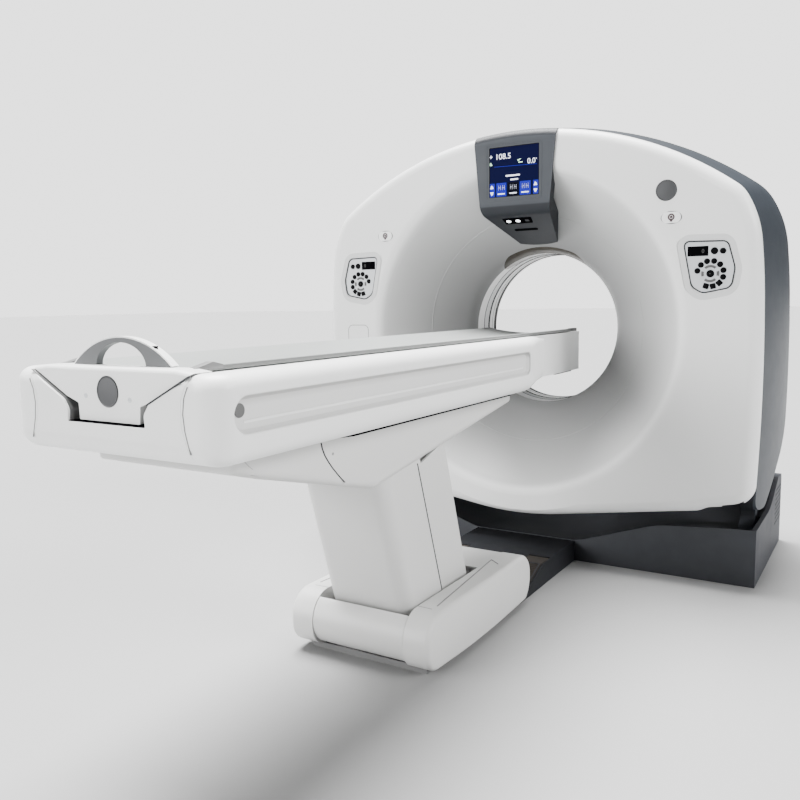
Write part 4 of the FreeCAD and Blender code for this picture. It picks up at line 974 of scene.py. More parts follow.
    def lay(self, mesh: Mesh, origin: Place, up: Place, out: Place) -> Mesh:
        """Turn a shape drawn in front view onto another plane.

        Args:
            mesh: The shape.
            origin: Where its own origin goes.
            up: Where its z axis points.
            out: Where its front faces.

        Returns:
            The same mesh.
        """
        upward, outward = Vector(up).normalized(), Vector(out).normalized()
        turn = Matrix((upward.cross(outward), -outward, upward)).transposed().to_4x4()
        bmesh.ops.transform(mesh, matrix=Matrix.Translation(origin) @ turn, verts=mesh.verts[:])
        return mesh

    def side(self, mesh: Mesh, x: float) -> Mesh:
        """Lay a shape drawn as (y, z) on the plane of that x, facing +X."""
        return self.lay(mesh, (x, 0.0, 0.0), (0.0, 0.0, 1.0), (1.0, 0.0, 0.0))

    def top(self, mesh: Mesh, z: float) -> Mesh:
        """Lay a shape drawn as (x, y) on the plane of that z, facing up."""
        return self.lay(mesh, (0.0, 0.0, z), (0.0, 1.0, 0.0), (0.0, 0.0, 1.0))

    def mirrored(self, mesh: Mesh) -> Mesh:
        """A copy of a mesh on the other side of x = 0.

        Args:
            mesh: The mesh, which stays as it is.

        Returns:
            The copy, with its faces outwards.
        """
        copy = mesh.copy()
        bmesh.ops.scale(copy, vec=(-1.0, 1.0, 1.0), verts=copy.verts[:])
        bmesh.ops.recalc_face_normals(copy, faces=copy.faces[:])
        return copy

    def pair(self, mesh: Mesh) -> Mesh:
        """A mesh with its mirror image."""
        return self.join([self.mirrored(mesh), mesh])

    def turned(self, profile: Sequence[Point], centre: Place, axis: str = "Y",
               steps: int = 48) -> Mesh:
        """A turned piece.

        Args:
            profile: Points (along the axis, radius), from one end to the other.
            centre: Where the axis starts.
            axis: The frame's axis that it turns about.
            steps: Facets round it.

        Returns:
            The mesh, closed where the profile ends on the axis.
        """
        mesh = bmesh.new()
        verts, edges = self.chain(mesh, [(radius, 0.0, along) for along, radius in profile])
        bmesh.ops.spin(mesh, geom=verts + edges, cent=(0, 0, 0), axis=(0, 0, 1),
                       angle=math.tau, steps=steps, use_merge=True)
        bmesh.ops.remove_doubles(mesh, verts=mesh.verts[:], dist=TOUCH)
        turn = {"Y": Matrix.Rotation(-math.pi / 2, 4, "X"),
                "X": Matrix.Rotation(math.pi / 2, 4, "Y")}[axis]
        bmesh.ops.transform(mesh, matrix=Matrix.Translation(centre) @ turn, verts=mesh.verts[:])
        bmesh.ops.recalc_face_normals(mesh, faces=mesh.faces[:])
        return mesh

    def ring(self, low: float, high: float, inner: float, outer: float,
             chamfer: float = 0.8, steps: int = 128) -> Mesh:
        """A closed ring about the bore's axis.

        Args:
            low: The y of its front end.
            high: The y of its back end.
            inner: Its inner radius.
            outer: Its outer radius.
            chamfer: The chamfer of its inner edges.
            steps: Facets round it.

        Returns:
            The mesh.
        """
        profile = [(low, outer), (low, inner + chamfer), (low + chamfer, inner),
                   (high - chamfer, inner), (high, inner + chamfer), (high, outer), (low, outer)]
        return self.turned(profile, (0.0, 0.0, ISO_HEIGHT), "Y", steps)

    def join(self, meshes: Sequence[Mesh]) -> Mesh:
        """Several meshes as one, for small repeated parts.

        Args:
            meshes: The meshes, which are freed.

        Returns:
            The joined mesh.
        """
        whole = bmesh.new()
        for part in meshes:
            data = bpy.data.meshes.new("part")
            part.to_mesh(data)
            part.free()
            whole.from_mesh(data)
            bpy.data.meshes.remove(data)
        return whole

    def words(self, text: str, height: float, centre: Point, low: float) -> Mesh:
        """Plain numerals as a thin mesh facing -Y.

        Args:
            text: The numerals.
            height: Their height.
            centre: Their middle in front view.
            low: The y of their face.

        Returns:
            The mesh.
        """
        curve = bpy.data.curves.new("numerals", "FONT")
        curve.body = text
        curve.size = height * self.type_size
        curve.align_x = "CENTER"
        curve.align_y = "CENTER"
        holder = bpy.data.objects.new("numerals", curve)
        bpy.context.scene.collection.objects.link(holder)
        bpy.context.view_layer.update()
        depsgraph = bpy.context.evaluated_depsgraph_get()
        data = bpy.data.meshes.new_from_object(holder.evaluated_get(depsgraph))
        bpy.data.objects.remove(holder)
        bpy.data.curves.remove(curve)
        mesh = bmesh.new()
        mesh.from_mesh(data)
        bpy.data.meshes.remove(data)
        place = Matrix.Translation((centre[0], low, centre[1]))
        bmesh.ops.transform(mesh, matrix=place @ Matrix.Rotation(math.pi / 2, 4, "X"),
                            verts=mesh.verts[:])
        return mesh

    def place(self, mesh: Mesh, name: str, finish: Finish, body: str, smooth: float = 40.0,
              stands_for: tuple[str, ...] = ()) -> None:
        """Turn a mesh into a finished piece on its body.

        Args:
            mesh: The bmesh in millimetres, which is freed.
            name: The piece's name.
            finish: Its finish.
            body: The CAD body that carries it.
            smooth: Edges flatter than this many degrees are shaded smooth.
            stands_for: The CAD nodes that it replaces.
        """
        bmesh.ops.scale(mesh, vec=(MM, MM, MM), verts=mesh.verts[:])
        data = bpy.data.meshes.new(name)
        for face in mesh.faces:
            face.smooth = True
        for edge in mesh.edges:
            edge.smooth = not edge.is_manifold or edge.calc_face_angle(0.0) < math.radians(smooth)
        mesh.to_mesh(data)
        mesh.free()
        piece = bpy.data.objects.new(name, data)
        bpy.context.scene.collection.objects.link(piece)
        self.paintbox.dress(piece, finish)
        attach(piece, body)
        if stands_for:
            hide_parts(*stands_for)
        log.info("%s on %s: %d faces", name, body, len(data.polygons))


# ---------------------------------------------------------------------------
# Studio
# ---------------------------------------------------------------------------
@dataclass(frozen=True)
class Sun:
    """One wide soft light from far away.

    The source is the direction that it shines from, the spread is how wide it looks in
    degrees, and the strength is in watts per square metre.
    """

    name: str
    source: Place
    spread: float
    strength: float

    def hang(self) -> None:
        """Put the light in the scene."""
        data = bpy.data.lights.new(self.name, "SUN")
        data.angle = math.radians(self.spread)
        data.energy = self.strength
        lamp = bpy.data.objects.new(self.name, data)
        bpy.context.scene.collection.objects.link(lamp)
        aim = (-Vector(self.source)).to_track_quat("-Z", "Y")
        lamp.matrix_world = Matrix.Translation(self.source) @ aim.to_matrix().to_4x4()


@dataclass
class Studio:
    """Camera, floor and soft light, in metres."""

    camera_place: Place = (1.4455, -3.7794, 1.1681)
    yaw: float = 31.61
    pitch: float = 6.85
    roll: float = -0.88
    focal_px: float = 813.7
    frame_px: float = 800.0
    sensor_width: float = 36.0
    floor_size: float = 200.0
    floor_tone: float = 0.25
    ambient: float = 0.045
    backdrop: float = 2.5
    suns: tuple[Sun, ...] = (Sun("key_light", (-4.0, -5.0, 1.5), spread=40.0, strength=5.0),
                             Sun("side_light", (5.0, 0.2, 2.5), spread=25.0, strength=4.4),
                             Sun("top_light", (-1.5, 1.0, 6.0), spread=40.0, strength=22.0))

    def camera(self) -> None:
        """Stand the camera where the photograph was taken from."""
        yaw, pitch, roll = (math.radians(angle) for angle in (self.yaw, self.pitch, self.roll))
        forward = Vector((-math.sin(yaw) * math.cos(pitch), math.cos(yaw) * math.cos(pitch),
                          -math.sin(pitch)))
        level = Vector((math.cos(yaw), math.sin(yaw), 0.0))
        up = level.cross(forward)
        right = level * math.cos(roll) + up * math.sin(roll)
        upward = up * math.cos(roll) - level * math.sin(roll)
        data = bpy.data.cameras.new("camera")
        data.sensor_width = self.sensor_width
        data.lens = self.sensor_width * self.focal_px / self.frame_px
        camera = bpy.data.objects.new("camera", data)
        bpy.context.scene.collection.objects.link(camera)
        turn = Matrix((right, upward, -forward)).transposed().to_4x4()
        camera.matrix_world = Matrix.Translation(self.camera_place) @ turn
        bpy.context.scene.camera = camera

    def floor(self) -> None:
        """Lay a pale floor."""
        mesh = bmesh.new()
        bmesh.ops.create_grid(mesh, x_segments=1, y_segments=1, size=self.floor_size / 2)
        data = bpy.data.meshes.new("floor")
        mesh.to_mesh(data)
        mesh.free()
        floor = bpy.data.objects.new("floor", data)
        bpy.context.scene.collection.objects.link(floor)
        tone = (self.floor_tone, self.floor_tone, self.floor_tone, 1.0)
        data.materials.append(Graph("floor_pale").shade(Base_Color=tone, Roughness=0.9))

    def world(self) -> None:
        """Pale surroundings that light the scene more gently than they look."""
        world = bpy.data.worlds.new("surroundings")
        world.use_nodes = True
        nodes, links = world.node_tree.nodes, world.node_tree.links
        background = nodes["Background"]
        background.inputs["Color"].default_value = (1.0, 1.0, 1.0, 1.0)
        path = nodes.new("ShaderNodeLightPath")
        level = nodes.new("ShaderNodeMapRange")
        level.inputs["To Min"].default_value = self.ambient
        level.inputs["To Max"].default_value = self.backdrop
        links.new(path.outputs["Is Camera Ray"], level.inputs["Value"])
        links.new(level.outputs["Result"], background.inputs["Strength"])
        bpy.context.scene.world = world

    def build(self) -> None:
        """Set up the whole studio."""
        self.camera()
        self.floor()
        self.world()
        for sun in self.suns:
            sun.hang()


# ---------------------------------------------------------------------------
# Gantry
# ---------------------------------------------------------------------------
@dataclass
class Display:
    """Screen picture, lights and slot of the grey display housing.

    Places on the slope under the screen have their z counted from the crease above it.
    """

    bench: Bench
    glass: float = -472.0
    middle_z: float = 1718.5
    half: Point = (115.0, 105.5)
    gasket_width: float = 2.2
    frame_gap: float = 13.0
    frame_width: float = 3.0
    frame_levels: Point = (-475.0, -473.0)
    picture_gap: float = 2.6
    ink: float = -473.1
    ink_depth: float = 0.2
    height_at: Point = (-50.0, 1783.0)
    height_type: float = 24.0
    angle_at: Point = (80.0, 1753.0)
    angle_type: float = 22.0
    degree_at: Point = (103.0, 1761.0)
    degree_half: Point = (2.6, 2.6)
    plus_at: Point = (-107.0, 1786.0)
    plus_across: Point = (13.0, 3.4)
    plus_upright: Point = (3.4, 13.0)
    bars: tuple[tuple[Point, Point], ...] = (((-5.0, 1701.0), (66.0, 6.5)),
                                             ((2.0, 1684.0), (36.0, 6.0)))
    rule: tuple[Point, ...] = ((-92.0, 1742.0), (104.0, 1738.0))
    rule_width: Point = (0.0, 1.6)
    icon_bars: tuple[tuple[Point, Point], ...] = (((-107.5, 1751.5), (13.0, 4.0)),
                                                  ((31.0, 1753.0), (19.0, 4.0)))
    icon_arrows: tuple[tuple[Point, ...], ...] = (
        ((-114.0, 1755.0), (-103.0, 1755.0), (-108.5, 1763.0)),
        ((16.0, 1764.0), (34.0, 1768.0), (20.0, 1757.0)))
    tile_levels: Point = (1616.0, 1673.0)
    bright_tiles: tuple[Point, ...] = ((-58.0, 47.0), (52.0, 50.0), (-100.5, 23.0), (100.0, 23.0))
    dark_tile: Point = (-3.0, 50.0)
    figure_middles: tuple[float, ...] = (-58.0, -3.0, 52.0)
    figure_z: float = 1653.0
    figure_bars: tuple[tuple[float, Point], ...] = (
        (-13.0, (3.4, 20.0)), (-4.0, (3.4, 20.0)), (5.0, (3.4, 20.0)), (14.0, (3.4, 20.0)),
        (-8.5, (8.0, 3.6)), (9.5, (8.0, 3.6)))
    label_z: float = 1627.0
    label_size: Point = (34.0, 5.0)
    arrow: tuple[Point, ...] = ((-8.0, -7.0), (8.0, -7.0), (5.0, 3.0), (-2.0, 8.0))
    arrow_middles: Point = (-103.0, 99.0)
    arrow_levels: tuple[tuple[float, int], ...] = ((1658.0, 1), (1630.0, -1))
    crease: Place = (0.0, -474.0, 1548.0)
    slope_up: Place = (0.0, -0.927, 0.375)
    slope_out: Place = (0.0, -0.375, -0.927)
    strip: tuple[Corner, ...] = ((-79.0, -110.0, 5.0), (48.0, -110.0, 5.0), (57.0, -57.0, 5.0),
                                 (-79.0, -57.0, 5.0))
    light_middles: Point = (-57.0, -13.0)
    light_z: float = -84.0
    light_profile: tuple[Point, ...] = ((-2.4, 0.0), (-2.4, 8.5), (-1.8, 10.5), (-1.2, 10.5))
    sensor_at: Point = (30.0, -84.0)
    sensor_size: Point = (18.0, 18.0)
    slot_at: Point = (-8.0, -171.0)
    slot_size: Point = (112.0, 20.0)

    def build(self) -> None:
        """Build the picture, the frame round it and the parts on the slope below."""
        self.surround()
        self.picture()
        self.icons()
        self.tiles()
        self.slope()

    def around(self, gap: float, radius: float) -> list[Corner]:
        """The glass's outline, with a gap added all round."""
        (wide, tall), z = self.half, self.middle_z
        return upright(-wide - gap, z - tall - gap, wide + gap, z + tall + gap, radius)

    def surround(self) -> None:
        """Thin gasket and the soft raised frame round the glass."""
        bench = self.bench
        gasket = bench.border(self.around(0.0, 5.0), self.gasket_width, self.glass - 1.8,
                              self.glass + 2.0)
        bench.place(gasket, "screen_gasket", KEY_MAT, "gantry")
        frame = bench.border(self.around(self.frame_gap, 14.0), self.frame_width,
                             *self.frame_levels)
        bench.place(frame, "screen_frame", SHADED_HOUSING, "gantry")

    def picture(self) -> None:
        """Dark panel with plain read-outs: a height, an angle, a rule and two bars."""
        bench, front, back = self.bench, self.ink, self.ink + self.ink_depth
        panel = bench.slab(self.around(-self.picture_gap, 3.0), self.glass - 0.8,
                           self.glass + 0.4)
        bench.place(panel, "screen_picture", SCREEN, "gantry")
        marks = [bench.words("108.5", self.height_type, self.height_at, front),
                 bench.words("0.0", self.angle_type, self.angle_at, front),
                 bench.oval(self.degree_at, self.degree_half, front - 0.1, back, width=0.9,
                            steps=16),
                 bench.rectangle(self.plus_at, self.plus_across, front - 0.1, back),
                 bench.rectangle(self.plus_at, self.plus_upright, front - 0.2, back - 0.1)]
        marks += [bench.rectangle(middle, size, front, back, radius=1.0)
                  for middle, size in self.bars]
        bench.place(bench.join(marks), "screen_marks", INK, "gantry")
        rule = bench.line(self.rule, self.rule_width, front, back)
        bench.place(rule, "screen_rule", TILE, "gantry")

    def icons(self) -> None:
        """Green marks for the table's height and the gantry's lean."""
        bench, front, back = self.bench, self.ink, self.ink + self.ink_depth
        green = [bench.rectangle(middle, size, front, back, radius=1.0)
                 for middle, size in self.icon_bars]
        green += [bench.slab(arrow, front, back) for arrow in self.icon_arrows]
        bench.place(bench.join(green), "screen_icons", GREEN_INK, "gantry")

    def tile(self, middle: float, width: float) -> Mesh:
        """One tile of the bottom row.

        Args:
            middle: The x of its middle.
            width: Its width.

        Returns:
            The mesh.
        """
        low, high = self.tile_levels
        corners = upright(middle - width / 2, low, middle + width / 2, high, 2.0)
        return self.bench.slab(corners, self.ink, self.ink + self.ink_depth)

    def tiles(self) -> None:
        """The bottom row: bright tiles with a dark one among them, and marks on them."""
        bench, front, back = self.bench, self.ink, self.ink + self.ink_depth
        bright = [self.tile(*tile) for tile in self.bright_tiles]
        bench.place(bench.join(bright), "screen_tiles", TILE, "gantry")
        bench.place(self.tile(*self.dark_tile), "screen_dark_tile", DARK_TILE, "gantry")
        raised = (front - 0.4, front - 0.1)
        marks = []
        for x in self.figure_middles:
            marks += [bench.rectangle((x + step, self.figure_z), size, front, back, radius=0.5)
                      for step, size in self.figure_bars]
            marks.append(bench.rectangle((x, self.label_z), self.label_size, *raised,
                                         radius=1.5))
        for x in self.arrow_middles:
            marks += [bench.slab([(x + u, z + v * flip) for u, v in self.arrow], *raised)
                      for z, flip in self.arrow_levels]
        bench.place(bench.join(marks), "tile_marks", INK, "gantry")

    def slope(self) -> None:
        """Lamp strip and loudspeaker slot on the face that leans back into the mouth."""
        bench = self.bench

        def add(mesh: Mesh, name: str, finish: Finish) -> None:
            """Lay a flat shape on the slope and place it."""
            bench.place(bench.lay(mesh, self.crease, self.slope_up, self.slope_out), name,
                        finish, "gantry")

        add(bench.slab(self.strip, -1.4, 1.0, edge=0.5), "lamp_strip", PITCH)
        lights = [bench.turned(self.light_profile, (x, 0.0, self.light_z), steps=28)
                  for x in self.light_middles]
        add(bench.join(lights), "strip_lights", WHITE_LIGHT)
        add(bench.rectangle(self.sensor_at, self.sensor_size, -2.0, -1.2, radius=3.0),
            "strip_sensor", GASKET_AND_SHADOW)
        add(bench.rectangle(self.slot_at, self.slot_size, -0.8, 1.0, radius=9.5),
            "housing_slot", PITCH)


@dataclass
class Keypads:
    """Seals, printed marks and display digits of the two control panels.

    Sizes are drawn for the right-hand panel, from its own origin.
    """

    bench: Bench
    bezel: tuple[Corner, ...] = ((-100.0, 94.0, 20.0), (64.0, 90.0, 24.0), (92.0, -10.0, 60.0),
                                 (80.0, -84.0, 30.0), (-24.0, -104.0, 34.0),
                                 (-66.0, -78.0, 40.0))
    reach: float = 90.0
    back: float = -455.0
    # The flat grey ring of painted recess shade round each bezel.
    surround_grow: float = 27.0
    surround_width: float = 22.0
    surround_levels: Point = (-465.2, -464.6)
    seal_grow: float = 3.4
    seal_width: float = 5.4
    print_front: float = -463.6
    window: Edges = (-83.0, 37.0, -6.0, 75.0)
    window_front: float = -463.2
    digit_at: Point = (-25.5, 55.0)
    digit_type: float = 15.0
    ring_middle: Point = (3.0, -31.0)
    dot_half: Point = (2.2, 2.2)
    dot_levels: Point = (-465.6, -464.9)
    arc_radius: float = 28.5
    arc_width: float = 9.5
    arc_back: float = -461.6
    arc_turns: tuple[Point, ...] = ((48.0, 132.0), (162.0, 198.0), (228.0, 312.0), (-18.0, 18.0))
    ring_radius: float = 49.0
    first_key: float = 166.0
    key_step: float = 30.4
    round_keys: int = 7
    square_keys: int = 3
    key_base: float = -461.0
    key_profile: tuple[Point, ...] = ((0.0, 11.2), (-2.4, 11.2), (-3.4, 10.0), (-3.7, 6.0),
                                      (-3.8, 0.0))
    square_size: Point = (21.0, 21.0)
    square_front: float = -464.4

    def corners(self, grow: float) -> list[Corner]:
        """The bezel's outline on the gantry, grown a little.

        Args:
            grow: By about how much it is grown all round.

        Returns:
            The corners, for outline().
        """
        x, z = KEYPAD
        scale = 1 + grow / self.reach
        return [(x + u * scale, z + v * scale, radius + grow) for u, v, radius in self.bezel]

    def build(self) -> None:
        """Build both panels' parts from the right one."""
        self.panel()
        middle = (KEYPAD[0] + self.ring_middle[0], KEYPAD[1] + self.ring_middle[1])
        self.marks(middle)
        self.ring_keys(middle)

    def panel(self) -> None:
        """Flush ring of painted recess shade, dark seal, window and its digit."""
        bench, (x, z) = self.bench, KEYPAD
        # A grey ring of painted shade round each bezel, standing for the panel's shaded recess.
        surround = bench.border(self.corners(self.surround_grow), self.surround_width,
                                *self.surround_levels, segments=8)
        bench.place(bench.pair(surround), "keypad_surrounds", RECESS_SHADE_GREY, "gantry")
        seal = bench.border(self.corners(self.seal_grow), self.seal_width, self.print_front,
                            self.back, segments=8)
        bench.place(bench.pair(seal), "keypad_seals", GASKET_AND_SHADOW, "gantry")
        left, low, right, high = self.window
        glass = bench.slab(upright(x + left, z + low, x + right, z + high, 2.0),
                           self.window_front, self.back, edge=0.5)
        bench.place(bench.pair(glass), "keypad_windows", PITCH, "gantry")
        u, v = self.digit_at
        digits = [bench.words("0", self.digit_type, (side.value * (x + u), z + v),
                              self.print_front) for side in Side]
        bench.place(bench.join(digits), "keypad_digits", DIM_DIGIT, "gantry")

    def marks(self, middle: Point) -> None:
        """Four arcs round the centre key, and the dot on it.

        Args:
            middle: The middle of the right-hand key ring.
        """
        bench = self.bench
        arcs = [bench.arc(middle, self.arc_radius, self.arc_width, turn, self.print_front,
                          self.arc_back) for turn in self.arc_turns]
        bench.place(bench.pair(bench.join(arcs)), "keypad_arcs", PRINT, "gantry")
        for side in Side:
            dot = bench.oval((side.value * middle[0], middle[1]), self.dot_half,
                             *self.dot_levels, width=0.8, steps=16)
            bench.place(dot, f"centre_dot_{side.word}", PRINT, f"centre_key_{side.word}")

    def ring_keys(self, middle: Point) -> None:
        """Ten keys on each ring, the lowest three squarish.

        Args:
            middle: The middle of the right-hand key ring.
        """
        bench = self.bench
        keys = []
        for index in range(self.round_keys + self.square_keys):
            angle = math.radians(self.first_key - self.key_step * index)
            x = middle[0] + self.ring_radius * math.cos(angle)
            z = middle[1] + self.ring_radius * math.sin(angle)
            if index < self.round_keys:
                keys.append(bench.turned(self.key_profile, (x, self.key_base, z), steps=28))
                continue
            key = bench.rectangle((0.0, 0.0), self.square_size, self.square_front,
                                  self.key_base, radius=3.5, edge=1.0)
            turn = Matrix.Translation((x, 0.0, z)) @ Matrix.Rotation(-angle, 4, "Y")
            bmesh.ops.transform(key, matrix=turn, verts=key.verts[:])
            keys.append(key)
        bench.place(bench.pair(bench.join(keys)), "ring_keys", KEY, "gantry")


@dataclass
class GantryTrim:
    """Lamps' rims and signs, plain disc, hatches, screws, and the rings of mouth and bore."""

    bench: Bench
    lamp: Point = (661.0, 1480.0)
    lamp_rim: Point = (40.4, 24.8)
    lamp_rim_width: float = 4.4
    lamp_rim_levels: Point = (-466.6, -464.6)
    sign_rise: float = 2.0
    sign_ring: Point = (13.5, 13.5)
    sign_dot: Point = (5.5, 5.5)
    sign_foot: tuple[Corner, ...] = ((-4.0, -16.0, 1.0), (4.0, -16.0, 1.0), (5.5, -9.0),
                                     (-5.5, -9.0))
    sign_levels: Point = (-468.5, -467.9)
    disc: Point = (639.5, 1585.5)
    disc_profile: tuple[Point, ...] = ((-2.0, 41.0), (0.8, 41.0), (1.8, 39.8), (1.8, 37.0),
                                       (1.0, 36.0), (1.4, 20.0), (1.6, 0.0))
    hatch: Edges = (768.0, 945.0, 888.0, 1061.0)
    hatch_groove: float = 2.6
    hatch_levels: Point = (-465.5, -464.0)
    bead_radius: float = 2.6
    bead_middle: Point = (-284.5, 512.0)
    bead_sides: int = 10
    bore_outer: float = 351.0
    bore_rings: tuple[tuple[str, Finish, float, float, float], ...] = (
        ("front_ring_line", SEAM, -41.0, -37.0, 348.6),
        ("window_edge_line", SEAM, 12.0, 24.0, 348.6),
        ("rear_lip_ring", BLACK, 78.0, 104.0, 348.6),
        ("rear_ring_groove", SOFT_SEAM_AND_SHADE, 54.0, 57.0, 349.0))
    band_x: float = 986.5
    band_screws: tuple[Point, ...] = ((-112.0, 610.0), (-112.0, 636.0))
    screw_profile: tuple[Point, ...] = ((-1.0, 5.0), (0.4, 5.0), (1.0, 3.6), (0.6, 2.2),
                                        (0.6, 0.0))
    rear_y: float = 430.0
    rear_caps: tuple[Point, ...] = ((700.0, 420.0), (780.0, 1000.0), (700.0, 1560.0),
                                    (330.0, 1800.0))
    cap_profile: tuple[Point, ...] = ((-2.0, 11.0), (1.4, 11.0), (2.4, 9.5), (2.4, 3.0),
                                      (1.4, 2.4), (1.4, 0.0))
    rear_hatch: Edges = (-150.0, -60.0, 150.0, 60.0)
    rear_hatch_z: float = 1700.0

    def build(self) -> None:
        """Build every small part of the covers."""
        self.lamps()
        self.badge()
        self.flap()
        self.mouth()
        self.bore()
        self.screws()
        self.back()

    def lamps(self) -> None:
        """A fine rim round each oval lamp, and a plain sign on it."""
        bench, (x, z) = self.bench, self.lamp
        rim = bench.oval(self.lamp, self.lamp_rim, *self.lamp_rim_levels,
                         width=self.lamp_rim_width, steps=56)
        bench.place(bench.pair(rim), "lamp_rims", STOP, "gantry")
        head = (x, z + self.sign_rise)
        foot = [(x + u, z + v, *radius) for u, v, *radius in self.sign_foot]
        sign = [bench.oval(head, self.sign_ring, *self.sign_levels, width=6.5, steps=28),
                bench.oval(head, self.sign_dot, *self.sign_levels, steps=20),
                bench.slab(foot, *self.sign_levels)]
        bench.place(bench.pair(bench.join(sign)), "lamp_signs", SYMBOL, "gantry")

    def badge(self) -> None:
        """A plain satin disc on the front cover."""
        disc = self.bench.turned(self.disc_profile, (self.disc[0], 0.0, self.disc[1]), steps=56)
        bmesh.ops.scale(disc, vec=(1.0, -1.0, 1.0), verts=disc.verts[:])
        bmesh.ops.translate(disc, vec=(0.0, FACE, 0.0), verts=disc.verts[:])
        bmesh.ops.recalc_face_normals(disc, faces=disc.faces[:])
        self.bench.place(disc, "plain_disc", BADGE, "gantry")

    def flap(self) -> None:
        """Groove of the small hatch low on the left of the front cover."""
        groove = self.bench.border(upright(*self.hatch, 26.0), self.hatch_groove,
                                   *self.hatch_levels, segments=8)
        self.bench.place(self.bench.mirrored(groove), "hatch_groove", STOP, "gantry")
        groove.free()

    def mouth(self) -> None:
        """A soft bead where the mouth turns steeper."""
        along, radius = self.bead_middle
        angles = [math.tau * step / self.bead_sides for step in range(self.bead_sides + 1)]
        bead = [(along + self.bead_radius * math.cos(angle),
                 radius + self.bead_radius * math.sin(angle)) for angle in angles]
        self.bench.place(self.bench.turned(bead, (0.0, 0.0, ISO_HEIGHT), steps=160),
                         "mouth_bead", MOUTH_SHADED_COVER, "gantry", smooth=80.0)

    def bore(self) -> None:
        """Dark and pale rings just proud of the bore's wall."""
        for name, finish, low, high, inner in self.bore_rings:
            self.bench.place(self.bench.ring(low, high, inner, self.bore_outer), name, finish,
                             "gantry", smooth=30.0)

    def screws(self) -> None:
        """Screws on the dark band."""
        bench = self.bench
        screws = [bench.turned(self.screw_profile, (self.band_x, y, z), "X", steps=20)
                  for y, z in self.band_screws]
        bench.place(bench.pair(bench.join(screws)), "band_screws", STRIP, "gantry")

    def back(self) -> None:
        """Fasteners and a hatch groove on the rear cover."""
        bench = self.bench
        caps = [bench.turned(self.cap_profile, (x, self.rear_y, z), steps=28)
                for x, z in self.rear_caps]
        bench.place(bench.pair(bench.join(caps)), "rear_fasteners", STRIP, "gantry")
        hatch = bench.border(upright(*self.rear_hatch, 20.0), 2.0, -0.6, 1.0)
        bench.lay(hatch, (0.0, self.rear_y, self.rear_hatch_z), (0, 0, 1), (0, 1, 0))
        bench.place(hatch, "rear_hatch_groove", SOFT_SEAM_AND_SHADE, "gantry")


